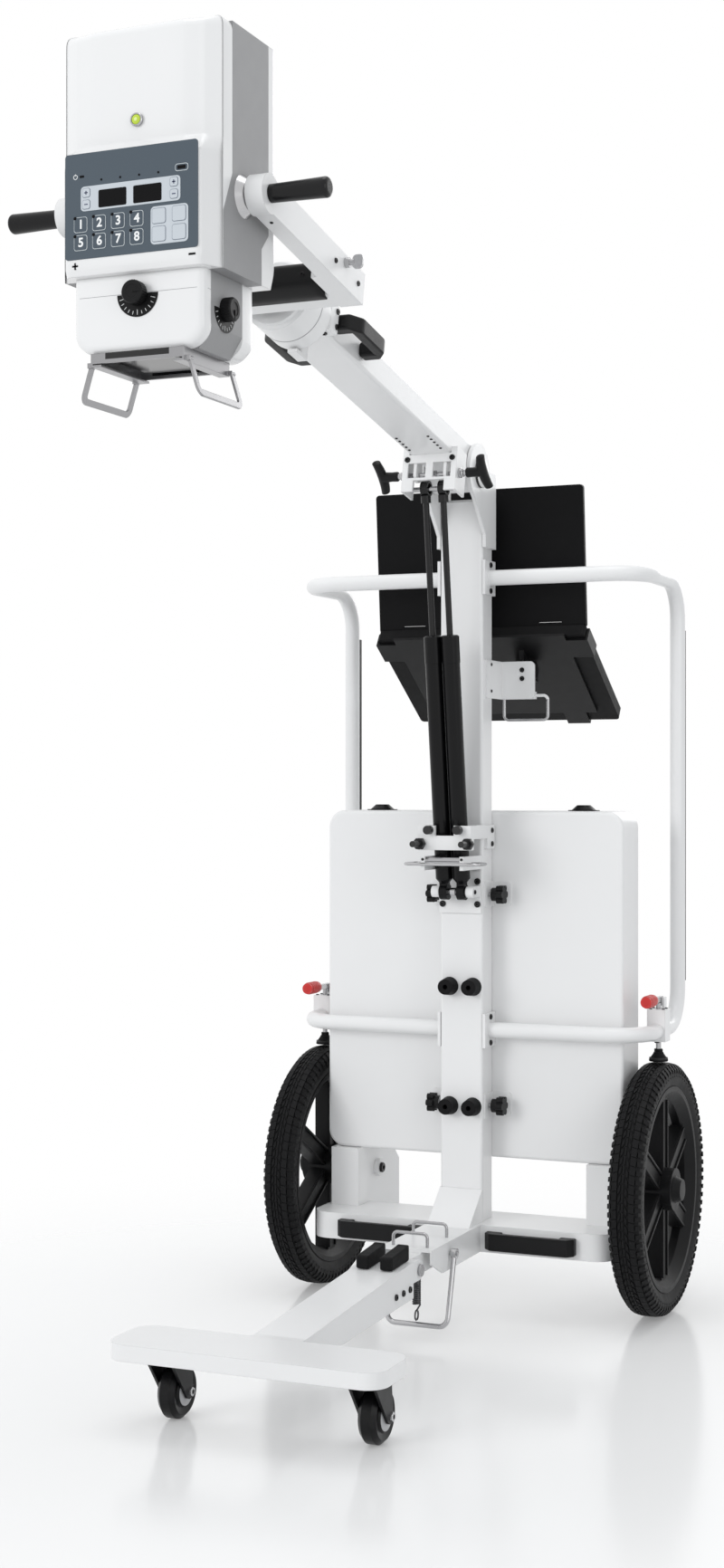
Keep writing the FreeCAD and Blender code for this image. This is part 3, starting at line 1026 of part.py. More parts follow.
def make_head():
    cover = extrude("yz", head_face("0", "0"), "-head_half", "2 * head_half")
    bevels = []
    for sign in (-1, 1):
        bevels.append(extrude("xy", [(f"{sign} * head_face_half", "-panel_front - 1"),
                                     (f"{sign} * (head_half + 1)", "-panel_front - 1"),
                                     (f"{sign} * (head_half + 1)", "-seam_low_front + 4"),
                                     (f"{sign} * head_half", "-seam_low_front + 4")],
                              "-head_low - 1", "head_low + head_top + 2"))
    cover = cut(cover, *bevels)
    cover = rounded(cover, "head_edge",
                    along("x", lambda at: at.z > num("head_top") - 0.1 and at.y < -num("seam_front") - 1))
    room = extrude("yz", head_face("head_wall", "head_wall"), "head_wall - head_half + 12",
                   "2 * (head_half - head_wall - 12)")
    node("head_front", cut(cover, room), TILT_PIN)
    middle = extrude("yz", [("-seam_front", "head_top"), ("-seam_front", "seam_high"),
                            ("-seam_low_front", "-seam_low"),
                            ("-seam_low_front", "-head_low"), ("middle_low_back", "-head_low"),
                            ("middle_low_back", "-middle_step_low"),
                            ("middle_back", "-middle_step_high"), ("middle_back", "head_top")], "-head_half",
                     "2 * head_half")
    hollow = extrude("yz", [("-seam_front - 1", "head_top - head_wall"), ("-seam_front - 1", "seam_high"),
                            ("-seam_low_front - 1", "-seam_low"),
                            ("-seam_low_front - 1", "-head_low + head_wall"),
                            ("middle_low_back + 1", "-head_low + head_wall"),
                            ("middle_low_back + 1", "-middle_step_low"),
                            ("middle_back + 1", "-middle_step_high"),
                            ("middle_back + 1", "head_top - head_wall")], "head_wall - head_half",
                     "2 * (head_half - head_wall)")
    tank = box(("-head_half + head_wall + tank_gap", "head_half - head_wall - tank_gap"),
               ("-tank_front", "tank_back"), ("-tank_low", "tank_high"))
    chamber = box(("-tank_half", "tank_half"), ("-tank_front + 8", "tank_back - 8"),
                  ("-tank_low + 8", "tank_high - 8"))
    node("head_middle", [cut(middle, hollow), cut(tank, chamber)], TILT_PIN)
    rear = extrude("yz", [("middle_back", "head_top"), ("middle_back", "-middle_step_high"),
                          ("middle_low_back", "-middle_step_low"),
                          ("middle_low_back", "-head_low"), ("head_back - 20", "-head_low"),
                          ("head_back", "-middle_step_low + 5"),
                          ("head_back", "head_top")], "-head_half", "2 * head_half")
    rear = rounded(rear, 14, lambda edge: edge.CenterOfMass.y > num("head_back") - 0.5)
    scoop = extrude("yz", [("middle_back - 1", "head_top - head_wall"),
                           ("middle_back - 1", "-middle_step_high"),
                           ("middle_low_back - 1", "-middle_step_low"),
                           ("middle_low_back - 1", "-head_low + head_wall"),
                           ("head_back - 24", "-head_low + head_wall"),
                           ("head_back - 14", "-middle_step_low + 5"),
                           ("head_back - 14", "head_top - head_wall - 10")],
                    "head_wall - head_half + 6", "2 * (head_half - head_wall - 6)")
    node("head_back", cut(rear, scoop), TILT_PIN)
    panel = box(("-panel_half", "panel_half"), ("-panel_front - panel_thick", "-panel_front"),
                ("-panel_low", "panel_high"))
    panel = rounded(panel, 4, along("y"))
    level = rod("y", (0, "-face_front - level_proud", "level_height"), "level_proud", "level_radius")
    node("control_panel", [panel, level], TILT_PIN)


def make_trunnions():
    pins = []
    grips = []
    for sign in (-1, 1):
        span = side_span(sign, "head_half", "flange_out")
        flange = cone("x", (span[0], 0, 0), "flange_out - head_half",
                      "flange_radius" if sign > 0 else "flange_radius - 8",
                      "flange_radius - 8" if sign > 0 else "flange_radius")
        pin = rod("x", (side_span(sign, "head_half", "arm_outer + 8")[0], 0, 0), "arm_outer + 8 - head_half",
                  "trunnion_radius")
        pins.append(fuse(flange, pin))
        first = side_span(sign, "arm_outer + 0.5", "grip_out")[0]
        grip = cone("x", (first, 0, 0), "grip_out - arm_outer - 0.5",
                    "grip_radius" if sign > 0 else "grip_tip_radius",
                    "grip_tip_radius" if sign > 0 else "grip_radius")
        grip = rounded(grip, 5, lambda edge: abs(edge.CenterOfMass.x) > num("grip_out") - 0.5)
        socket = rod("x", (side_span(sign, "arm_outer", "arm_outer + 8")[0], 0, 0), 8, "trunnion_radius")
        grips.append(cut(grip, socket))
    node("trunnions", pins, TILT_PIN)
    node("grips", grips, TILT_PIN)


def coll_profile(inset, grow):
    """Front outline of the collimator, with its slanted lower sides."""
    half = f"(coll_half - {inset})"
    return [(f"-{half}", "-coll_top"), (f"-{half}", "-coll_low + coll_slant_rise"),
            (f"-{half} + coll_slant", f"-coll_low + {inset}"),
            (f"{half} - coll_slant", f"-coll_low + {inset}"), (half, "-coll_low + coll_slant_rise"),
            (half, "-coll_top")]


def make_collimator():
    front_depth = "(coll_front - 18)"
    front = extrude("xz", coll_profile("0", "0"), f"-{front_depth}", "18")
    front = rounded(front, 6, lambda edge: edge.CenterOfMass.y < -num("coll_front") + 0.5)
    hollow = extrude("xz", coll_profile("coll_wall", "0"), f"-{front_depth} + 1", "19 - coll_wall")
    shaft_hole = rod("y", (0, "-coll_front - 1", "-knob_front_z"),
                     "dial_hole_depth", "dial_shaft + running_gap")
    plate = rod("y", (0, "-coll_front - dial_plate", "-knob_front_z"), "dial_plate", "dial_plate_radius")
    lower = box(("-dial_plate_radius - 1", "dial_plate_radius + 1"),
                ("-coll_front - dial_plate - 1", "-coll_front + 1"),
                ("-knob_front_z - dial_plate_radius - 1", "-knob_front_z"))
    body = extrude("xz", coll_profile("0", "0"), "coll_side_back", f"coll_side_back + {front_depth}")
    inside = extrude("xz", coll_profile("coll_wall", "0"), "coll_side_back - 8",
                     f"coll_side_back + {front_depth} - 7")
    side_hole = rod("x", ("coll_half - 12", "-knob_side_y", "-knob_side_z"), 13, "dial_shaft + running_gap")
    node("collimator_body", cut(body, inside, side_hole), TILT_PIN)
    rear = extrude("xz", coll_profile("0", "0"), "coll_back", "coll_back - coll_side_back")
    rear = rounded(rear, 12, lambda edge: edge.CenterOfMass.y > num("coll_back") - 0.5)
    scale = cut(common(plate, lower), shaft_hole)
    node("collimator_covers", [fuse(cut(front, hollow, shaft_hole), scale), rear], TILT_PIN)
    knob = fuse(rod("y", (0, "-coll_front - dial_plate - 0.3 - dial_length", "-knob_front_z"), "dial_length",
                    "dial_radius"),
                rod("y", (0, "-coll_front - dial_plate - 1", "-knob_front_z"), "14 + dial_plate",
                    "dial_shaft"))
    node("collimator_knob_front", knob, TILT_PIN)
    side = fuse(rod("x", ("coll_half + 0.3", "-knob_side_y", "-knob_side_z"), "dial_length", "dial_radius"),
                rod("x", ("coll_half - 10", "-knob_side_y", "-knob_side_z"), "11", "dial_shaft"))
    node("collimator_knob_side", side, TILT_PIN)
    low = "-rail_low"
    rails = []
    for sign in (-1, 1):
        rails.append(box(side_span(sign, "rail_half - rail_thick", "rail_half"), ("-rail_front", "rail_back"),
                         (low, "-coll_low")))
        rails.append(box(side_span(sign, "rail_half - rail_flange", "rail_half"),
                         ("-rail_front", "rail_back"), (low, f"{low} + rail_thick")))
    rails.append(box(("-rail_half", "rail_half"), ("-rail_front", "rail_thick - rail_front"),
                     (f"{low} + 4", "-coll_low")))
    rails.append(box(("-rail_half", "rail_half"), ("rail_back - rail_thick", "rail_back"),
                     (f"{low} + 4", "-coll_low")))
    window = box(("-rail_half + rail_flange + 6", "rail_half - rail_flange - 6"),
                 ("-rail_front + 22", "rail_back - 16"), (f"{low} + 9", "-coll_low"))
    for sign in (-1, 1):
        hinge = f"{sign} * (rail_half + guard_hinge + guard_gap)"
        for end in ("-guard_front", "guard_back"):
            lug = side_span(sign, "rail_half - 1", "rail_half + 2 * guard_hinge + guard_gap")
            rails.append(box(lug, (f"{end} - guard_bar / 2 - guard_gap - 2",
                                   f"{end} - guard_bar / 2 - guard_gap"),
                             (low, f"{low} + 2 * guard_hinge")))
            rails.append(rod("y", (hinge, f"{end} - guard_bar / 2 - guard_gap - 1", f"{low} + guard_hinge"),
                             "guard_bar + guard_gap + 1", "guard_pin"))
    node("collimator_rails", [fuse(*rails), window], TILT_PIN)


def make_guards():
    for name, sign in SIDES:
        hinge = (f"{sign} * (rail_half + guard_hinge + guard_gap)", "0", "-rail_low + guard_hinge")
        splay = f"{sign} * guard_drop * tan(guard_splay)"
        corners = [(0, "-guard_front", 0), (splay, "-guard_front", "-guard_drop"),
                   (splay, "guard_back", "-guard_drop"),
                   (0, "guard_back", 0)]
        path = bent_path(corners, "guard_bend")
        first = path.Edges[0]
        start = first.Vertexes[0].Point
        depth = FreeCAD.Vector(0, 1, 0) * (num("guard_bar") / 2)
        across = first.tangentAt(first.FirstParameter).cross(FreeCAD.Vector(0, 1, 0)).normalize()
        thin = across * (num("guard_thick") / 2)
        section = Part.makePolygon([start + depth + thin, start + depth - thin, start - depth - thin,
                                    start - depth + thin,
                                    start + depth + thin])
        bar = coded(path.makePipeShell([section], True, False))
        eyes = [rod("y", (0, f"{end} - guard_bar / 2", 0), "guard_bar",
                    "guard_hinge") for end in ("-guard_front", "guard_back")]
        shift = (f"({hinge[0]})", "axle_back - pivot_forward - head_reach * cos(boom_angle)",
                 f"pivot_height + head_reach * sin(boom_angle) + ({hinge[2]})")
        bores = [rod("y", (0, f"{end} - guard_bar", 0), "2 * guard_bar", "guard_pin + running_gap")
                 for end in ("-guard_front", "guard_back")]
        node(f"guard_{name}", cut(fuse(bar, *eyes), *bores), shift)


def make_laptop():
    plate = box(("column_half", "plate_right"), ("-bracket_back - bracket_plate", "-bracket_back"),
                ("plate_low", "plate_high"))
    plate = rounded(plate, 8, along("y", lambda at: at.x > num("plate_right") - 1))
    grip = box(("column_half", "column_half + bracket_plate"),
               ("-column_back - plate_grip * 0.6", "-bracket_back"), ("plate_low", "plate_high"))
    boss = box(("sector_x - 16", "sector_x - 0.3"), ("-bracket_back", "tray_pin_back + 12"),
               ("tray_pin_height - 12", "tray_pin_height + 12"))
    pin = rod("x", ("sector_x - 10", "tray_pin_back", "tray_pin_height"), "sector_thick + 14",
              "tray_pin_radius")
    wire = bent_rod([("column_half + 4", "-bracket_back + 6", "plate_low + 6"),
                     ("column_half + 4", "-bracket_back + 6", "plate_low - 34"),
                     ("plate_right + 20", "-bracket_back + 6", "plate_low - 34"),
                     ("plate_right + 20", "-bracket_back + 6", "plate_low + 6"),
                     ("plate_right - 10", "-bracket_back + 6", "plate_low + 6")], 8, 2.5)
    seat = box(("column_half", "plate_right"), ("-bracket_back - 1", "-bracket_back + 8"),
               ("plate_low", "plate_low + 12"))
    node("laptop_bracket", fuse(plate, grip, boss, pin, wire, seat), AXLE)
    where = (0, "axle_back - laptop_back", "laptop_height")
    bottom = "-laptop_thick"
    tray_top = f"({bottom} - 0.3)"
    tray = box(("-tray_width_half", "tray_width_half"), ("tray_start", "tray_start + tray_length"),
               (f"{tray_top} - tray_thick", tray_top))
    lips = [box(side_span(sign, "tray_width_half - 60", "tray_width_half - 20"),
                ("laptop_deep + 0.3", "laptop_deep + 4.3"),
                (f"{tray_top} - tray_thick", f"{tray_top} + tray_lip - 8")) for sign in (-1, 1)]
    feet = [box(side_span(sign, "tray_width_half - 60", "tray_width_half - 20"),
                ("tray_start + tray_length - 1", "laptop_deep + 4.3"),
                (f"{tray_top} - tray_thick", tray_top)) for sign in (-1, 1)]
    ears = [box(side_span(sign, "laptop_half + 0.3", "laptop_half + 4.3"), ("tray_start", "tray_start + 46"),
                (f"{tray_top} - tray_thick", f"{tray_top} + tray_lip - 6")) for sign in (-1, 1)]
    wings = [box(side_span(sign, "tray_width_half - 1", "laptop_half + 4.3"),
                 ("tray_start", "tray_start + 46"),
                 (f"{tray_top} - tray_thick", tray_top)) for sign in (-1, 1)]
    back = box(("-tray_width_half", "tray_width_half"), ("tray_start - 14", "tray_start + 1"),
               (f"{tray_top} - tray_thick", tray_top))
    run = "(laptop_back + tray_pin_back)"
    fall = "(tray_pin_height - laptop_height)"
    pin_along = f"({run} * cos(tray_angle) - {fall} * sin(tray_angle))"
    pin_up = f"({run} * sin(tray_angle) + {fall} * cos(tray_angle))"
    sector = fuse(rod("x", ("sector_x", pin_along, pin_up), "sector_thick", "sector_radius * 0.55"),
                  extrude("yz", [(f"{pin_along} - sector_radius * 0.5", pin_up),
                                 (f"{pin_along} - sector_radius", f"{tray_top} - 1"),
                                 (f"{pin_along} + sector_radius * 2", f"{tray_top} - 1"),
                                 (f"{pin_along} + sector_radius * 0.5", pin_up)],
                          "sector_x", "sector_thick"))
    bore = rod("x", ("sector_x - 1", pin_along, pin_up), "sector_thick + 2", "tray_pin_radius + running_gap")
    node("laptop_tray", cut(fuse(tray, *lips, *feet, *ears, *wings, back, sector), bore), where,
         "-tray_angle")
    case = box(("-laptop_half", "laptop_half"), (0, "laptop_deep"), (bottom, 0))
    case = rounded(case, 6, along("z"))
    centre = "(lid_gap + lid_thick / 2)"
    barrels = []
    for sign in (-1, 1):
        span = side_span(sign, "barrel_inner", "barrel_outer")
        barrels.append(rod("x", (span[0], "barrel_radius", centre), "barrel_outer - barrel_inner",
                           "barrel_radius"))
        barrels.append(box(span, ("barrel_radius * 0.4", "barrel_radius * 1.6"), ("-1", centre)))
    node("laptop_base", fuse(case, *barrels), where, "-tray_angle")
    lid = box(("-laptop_half", "laptop_half"), (0, "lid_long"), ("-lid_thick / 2", "lid_thick / 2"))
    lid = rounded(lid, 6, along("z", lambda at: at.y > 10))
    lid = fuse(lid, rod("x", ("-laptop_half", 0, 0), "2 * laptop_half", "lid_thick / 2"))
    notches = [box(side_span(sign, "barrel_inner - barrel_gap", "barrel_outer + barrel_gap"),
                   ("-lid_thick", "barrel_radius + barrel_gap"),
                   ("-lid_thick", "lid_thick")) for sign in (-1, 1)]
    lid_at = (0, f"axle_back - laptop_back + barrel_radius * cos(tray_angle) + {centre} * sin(tray_angle)",
              f"laptop_height - barrel_radius * sin(tray_angle) + {centre} * cos(tray_angle)")
    node("laptop_lid", cut(lid, *notches), lid_at, "lid_angle - tray_angle")


make_column()
make_base_beam()
make_base_tray()
make_wheel_posts()
make_clips(make_case())
make_side_frames()
make_brakes()
make_column_head()
make_boom()
make_strut_bracket()
make_struts()
make_latch()
make_cone_bumpers()
make_foot_loop()
make_rear_wheels()
make_leg()
make_casters()
make_yoke()
make_head()
make_trunnions()
make_collimator()
make_guards()
make_laptop()

doc.recompute()
for item in doc.Objects:
    if "Invalid" in item.State or "Error" in item.State:
        raise SystemExit(f"{item.Name} ({item.TypeId}) failed: {item.State}")
os.makedirs("parts", exist_ok=True)
for sub_part in nodes:
    shape = sub_part.Shape
    if shape.isNull() or not shape.isValid() or not shape.Solids:
        raise SystemExit(f"{sub_part.Label} has no valid shape")
for sub_part in nodes:
    sub_part.Shape.exportStep(f"parts/{sub_part.Label}.step")
print(len(nodes), "sub-parts written")
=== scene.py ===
"""Finish and dress of the portable x-ray machine, piece by piece from the base up to the x-ray head."""
import json
import math

import bmesh
import bpy
from mathutils import Matrix, Vector


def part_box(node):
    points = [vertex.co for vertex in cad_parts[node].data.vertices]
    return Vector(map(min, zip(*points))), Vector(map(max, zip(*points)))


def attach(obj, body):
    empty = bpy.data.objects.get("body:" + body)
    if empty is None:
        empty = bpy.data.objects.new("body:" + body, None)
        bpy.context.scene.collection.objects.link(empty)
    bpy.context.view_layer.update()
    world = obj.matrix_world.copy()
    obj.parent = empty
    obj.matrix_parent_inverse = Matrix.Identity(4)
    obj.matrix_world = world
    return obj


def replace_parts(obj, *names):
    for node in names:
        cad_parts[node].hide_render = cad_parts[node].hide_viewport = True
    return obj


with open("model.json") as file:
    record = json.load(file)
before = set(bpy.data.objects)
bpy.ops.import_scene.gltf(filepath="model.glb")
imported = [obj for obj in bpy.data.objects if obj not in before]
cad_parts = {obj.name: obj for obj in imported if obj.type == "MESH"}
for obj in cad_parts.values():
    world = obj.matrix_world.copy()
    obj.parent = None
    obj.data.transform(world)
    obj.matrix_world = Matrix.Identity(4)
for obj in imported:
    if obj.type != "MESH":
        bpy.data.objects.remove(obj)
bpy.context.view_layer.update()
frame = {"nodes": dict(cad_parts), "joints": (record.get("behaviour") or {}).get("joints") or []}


# White base: tray, beam, wheel posts and column
# Folded and welded sheet steel under a smooth white powder coat. The axles, the leg's hinge pin and the
# two strap loops on the beam are plain steel.
nodes = frame["nodes"]
places = {joint["name"]: Vector(joint["pos_m"]) for joint in frame["joints"] if "pos_m" in joint}
axle_y = places["wheel_left_spin"].y
WHITE = (0.80, 0.80, 0.80)
STEEL = (0.42, 0.42, 0.43)
STEEL_ZONE = (STEEL, 0.24, 1.0)
OPEN = (None, None, None)
MIX_SOCKETS = {"FLOAT": (2, 0), "RGBA": (6, 2)}


def math_node(tree, operation, first, second=None):
    """Math node on an output, with another output or a plain number as its second input."""
    node = tree.nodes.new("ShaderNodeMath")
    node.operation = operation
    tree.links.new(first, node.inputs[0])
    if isinstance(second, bpy.types.NodeSocket):
        tree.links.new(second, node.inputs[1])
    elif second is not None:
        node.inputs[1].default_value = second
    return node.outputs[0]


def zone_mask(tree, where, low, high):
    """One inside a box that is mirrored in X and open where a bound is None."""
    split = tree.nodes.new("ShaderNodeSeparateXYZ")
    tree.links.new(where, split.inputs[0])
    across = math_node(tree, "ABSOLUTE", split.outputs[0])
    mask = None
    for source, least, most in zip((across, split.outputs[1], split.outputs[2]), low, high):
        for bound, test in ((least, "GREATER_THAN"), (most, "LESS_THAN")):
            if bound is not None:
                inside = math_node(tree, test, source, bound)
                mask = inside if mask is None else math_node(tree, "MULTIPLY", mask, inside)
    return mask


def finish(name, colour, roughness, metallic=0.0, grain=900, relief=0.04, mottle=0.02, edge=0.0012, coat=0.0,
           shine=0.5, edge_wear_and_highlight=None, zones=()):
    """Finish with slight clouding, surface grain and soft edges, and with zones of other finishes."""
    coat_roughness, cloud_scale, smear_scale, grain_depth = 0.12, 7, 60, 0.001
    material = bpy.data.materials.new(name)
    material.use_nodes = True
    tree = material.node_tree
    shader = tree.nodes["Principled BSDF"]
    shader.inputs["Coat Weight"].default_value = coat
    shader.inputs["Specular IOR Level"].default_value = shine
    shader.inputs["Coat Roughness"].default_value = coat_roughness
    where = tree.nodes.new("ShaderNodeTexCoord").outputs["Object"]

    def noise(scale, detail=2.0):
        node = tree.nodes.new("ShaderNodeTexNoise")
        node.inputs["Scale"].default_value = scale
        node.inputs["Detail"].default_value = detail
        tree.links.new(where, node.inputs["Vector"])
        return node.outputs["Fac"]

    def ranged(value, low, high):
        node = tree.nodes.new("ShaderNodeMapRange")
        node.inputs["To Min"].default_value = low
        node.inputs["To Max"].default_value = high
        tree.links.new(value, node.inputs["Value"])
        return node.outputs["Result"]

    def mixed(kind, factor, first, second):
        node = tree.nodes.new("ShaderNodeMix")
        node.data_type = kind
        first_input, result = MIX_SOCKETS[kind]
        tree.links.new(factor, node.inputs[0])
        for number, value in enumerate((first, second), first_input):
            if isinstance(value, bpy.types.NodeSocket):
                tree.links.new(value, node.inputs[number])
            elif kind == "RGBA":
                node.inputs[number].default_value = (*value, 1.0)
            else:
                node.inputs[number].default_value = value
        return node.outputs[result]

    dull = tuple(channel * (1 - 4 * mottle) for channel in colour)
    tint = mixed("RGBA", ranged(noise(cloud_scale, 4.0), 0.0, 0.5), colour, dull)
    rough = ranged(noise(smear_scale, 3.0), roughness * 0.85, roughness * 1.2)
    metal = metallic
    rounded = tree.nodes.new("ShaderNodeBevel")
    rounded.samples = 4
    rounded.inputs["Radius"].default_value = edge
    # Edges go lighter towards the given colour: partly rubbed wear, partly a painted highlight along each
    # edge.
    if edge_wear_and_highlight is not None:
        geometry = tree.nodes.new("ShaderNodeNewGeometry")
        spread = tree.nodes.new("ShaderNodeVectorMath")
        spread.operation = "DOT_PRODUCT"
        tree.links.new(rounded.outputs[0], spread.inputs[0])
        tree.links.new(geometry.outputs["Normal"], spread.inputs[1])
        tint = mixed("RGBA", ranged(spread.outputs["Value"], 1.0, 0.0), tint, edge_wear_and_highlight)
    for low, high, (zone_colour, zone_rough, zone_metal) in zones:
        mask = zone_mask(tree, where, low, high)
        tint = mixed("RGBA", mask, tint, zone_colour)
        rough = mixed("FLOAT", mask, rough, zone_rough)
        metal = mixed("FLOAT", mask, metal, zone_metal)
    tree.links.new(tint, shader.inputs["Base Color"])
    tree.links.new(rough, shader.inputs["Roughness"])
    if zones:
        tree.links.new(metal, shader.inputs["Metallic"])
    else:
        shader.inputs["Metallic"].default_value = metallic
    bump = tree.nodes.new("ShaderNodeBump")
    bump.inputs["Strength"].default_value = relief
    bump.inputs["Distance"].default_value = grain_depth
    tree.links.new(noise(grain), bump.inputs["Height"])
    tree.links.new(rounded.outputs[0], bump.inputs["Normal"])
    tree.links.new(bump.outputs[0], shader.inputs["Normal"])
    return material


def painted(name, *zones, roughness=0.34):
    """White powder coat, with zones where a piece carries a bare or black detail."""
    return finish(name, WHITE, roughness, coat=0.15, zones=zones)


def dress(material, *names):
    """Give CAD nodes a finish."""
    for name in names:
        slots = nodes[name].material_slots
        if len(slots):
            for slot in slots:
                slot.material = material
        else:
            nodes[name].data.materials.append(material)


# A bare detail's zone starts a hair off the white face that it stands on.
hair = 0.0004
white_paint = painted("white_paint")
dress(white_paint, "column", "base_tray", "case_clips", "case_shell", "side_frames")
base_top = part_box("column")[0].z
loop_half, loop_front = 0.032, axle_y - 0.205
hinge_side, hinge_front = 0.0385, places["leg_fold"].y + 0.012
pin_side = 0.0423
dress(painted("white_beam",
              ((None, None, base_top + hair), (loop_half, loop_front, None), STEEL_ZONE),
              ((hinge_side, None, None), (None, hinge_front, None), STEEL_ZONE),
              ((pin_side, None, None), OPEN, STEEL_ZONE)), "base_beam")
post_outer = 0.248
dress(painted("white_posts", ((post_outer + 0.0003, None, None), OPEN, STEEL_ZONE)), "wheel_posts")


# Column head, strut foot, latch plate and catch
# Thick white brackets bolted to the column. Rubber stops, studs with black nuts and pivot pins stand on them,
# and the polished cross tube of the transport catch lies between two ears.
BLACK = (0.006, 0.006, 0.0065)
BLACK_ZONE = (BLACK, 0.45, 0.0)
POLISHED_ZONE = (STEEL, 0.12, 1.0)
lift = places["boom_lift"]
cheek_side = 0.0425
dress(painted("white_column_head", ((cheek_side, None, None), OPEN, BLACK_ZONE), roughness=0.32),
      "column_head")
strut_pivot = places["strut_tilt"]
boss_inner = 0.0228
dress(painted("white_strut_foot", (OPEN, (boss_inner, strut_pivot.y + 0.012, None), STEEL_ZONE)),
      "strut_foot")
latch_front = axle_y - 0.196
catch_half, catch_front, catch_top = 0.0294, axle_y - 0.13, 0.7423
dress(painted("white_latch",
              ((None, None, catch_top + 0.003), (None, latch_front - hair, None), BLACK_ZONE),
              (OPEN, (catch_half, catch_front, catch_top), POLISHED_ZONE)), "latch_plate")


# Screws and nuts of the column
# Blackened steel screws with a hexagon socket in a round head fasten the latch plate, the strut foot and the
# flanges of the push frames. Two black nuts hold the studs at the front of the latch plate.


def show(name, mesh, material, body):
    """Turn a bmesh into a named piece that rides on a body and takes its finish from a slot."""
    data = bpy.data.meshes.new(name)
    bmesh.ops.recalc_face_normals(mesh, faces=mesh.faces[:])
    mesh.to_mesh(data)
    mesh.free()
    data.materials.append(material)
    for face in data.polygons:
        face.use_smooth = True
    data.set_sharp_from_angle(angle=math.radians(35))
    piece = bpy.data.objects.new(name, data)
    bpy.context.scene.collection.objects.link(piece)
    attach(piece, body)
    return piece


def turn_profile(mesh, profile, matrix, segments=32):
    """Revolve (radius, height) pairs about the local Z axis. A radius of zero closes an end."""
    rings = []
    for radius, height in profile:
        turns = [math.tau * step / segments for step in range(segments if radius else 1)]
        ring = [Vector((radius * math.cos(turn), radius * math.sin(turn), height)) for turn in turns]
        rings.append([mesh.verts.new(matrix @ spot) for spot in ring])
    for first, second in zip(rings, rings[1:]):
        for step in range(segments):
            corners = [first[step % len(first)], first[(step + 1) % len(first)],
                       second[(step + 1) % len(second)], second[step % len(second)]]
            corners = list(dict.fromkeys(corners))
            if len(corners) > 2:
                mesh.faces.new(corners)


AXES = {
    "+x": Matrix.Rotation(math.radians(90), 4, "Y"),
    "-x": Matrix.Rotation(math.radians(-90), 4, "Y"),
    "+y": Matrix.Rotation(math.radians(-90), 4, "X"),
    "-y": Matrix.Rotation(math.radians(90), 4, "X"),
    "+z": Matrix.Identity(4),
    "-z": Matrix.Rotation(math.radians(180), 4, "X"),
}
OUTWARDS = ((-1, "-x"), (1, "+x"))


def pointing(axis, spot, base=Matrix.Identity(4)):
    """Matrix that stands the local Z axis along a named axis at a spot of a base frame."""
    return base @ Matrix.Translation(spot) @ AXES[axis]


def socket_screw(mesh, matrix, radius):
    """Round head with a hexagon socket."""
    height = radius * 0.55
    head = [(radius, 0), (radius, height * 0.75), (radius * 0.86, height), (radius * 0.5, height)]
    socket = [(radius * 0.5, height), (radius * 0.48, height * 0.3), (0, height * 0.3)]
    turn_profile(mesh, head, matrix, 20)
    turn_profile(mesh, socket, matrix, 6)


def hex_nut(mesh, matrix, radius, height):
    """Nut with a worn upper edge, open in the middle."""
    outline = [(radius * 0.55, height), (radius * 0.9, height), (radius, height * 0.85), (radius, 0)]
    turn_profile(mesh, outline, matrix, 6)


black_screw = finish("black_screw", (0.02, 0.02, 0.021), 0.3, metallic=0.6, relief=0.0, edge=0.0003)
plate_side = 0.0414
latch_screws_y, latch_screws_up = axle_y - 0.088, (0.782, 0.760)
flange_y, flanges_up, flange_screws_apart = axle_y - 0.095, (1.192, 0.458), 0.021
foot_side, foot_face, foot_screws_up = 0.030, axle_y - 0.1244, (0.663, 0.700)
foot_pin_end = 0.036
ear_side, ear_front, ear_screw_up = 0.0329, axle_y - 0.206, 0.7375
stud_side, stud_up, stud_nut, stud_nut_height = 0.041, 0.762, 0.0100, 0.0092
screws = bmesh.new()
for sign, outwards in OUTWARDS:
    for up in latch_screws_up:
        socket_screw(screws, pointing(outwards, (sign * plate_side, latch_screws_y, up)), 0.0042)
    for up in flanges_up:
        for offset in (-flange_screws_apart, flange_screws_apart):
            socket_screw(screws, pointing(outwards, (sign * plate_side, flange_y, up + offset)), 0.0045)
    for up in foot_screws_up:
        socket_screw(screws, pointing("-y", (sign * foot_side, foot_face, up)), 0.0052)
    socket_screw(screws, pointing(outwards, (sign * foot_pin_end, strut_pivot.y, strut_pivot.z)), 0.0035)
    socket_screw(screws, pointing("-y", (sign * ear_side, ear_front, ear_screw_up)), 0.0022)
    hex_nut(screws, pointing("-y", (sign * stud_side, latch_front, stud_up)), stud_nut, stud_nut_height)
show("bracket_screws", screws, black_screw, "frame")


# Bumpers, hand screws and black handles
# Cone bumpers of rubber stand on the column, and rubber blocks on the leg. Lobed hand screws clamp the case
# to the column, two low knobs lie on its top, and the handles and the laptop's tray are moulded plastic.
rubber = finish("black_rubber", BLACK, 0.62, shine=0.15, relief=0.12, grain=1500, edge=0.0008)
# The moulded black goes lighter at its edges: rubbed wear and a painted edge highlight.
moulded = finish("moulded_black", BLACK, 0.40, shine=0.2, relief=0.1, grain=1800, edge=0.001,
                 edge_wear_and_highlight=(0.03, 0.03, 0.031))
dress(rubber, "cone_bumpers", "leg_blocks")
stud_end = 0.0452
dress(finish("hand_screw_black", BLACK, 0.40, shine=0.2, relief=0.1, grain=1800,
             zones=[(OPEN, (stud_end, None, None), STEEL_ZONE)]), "hand_knobs")
dress(moulded, "tray_handles", "boom_handles", "laptop_tray")


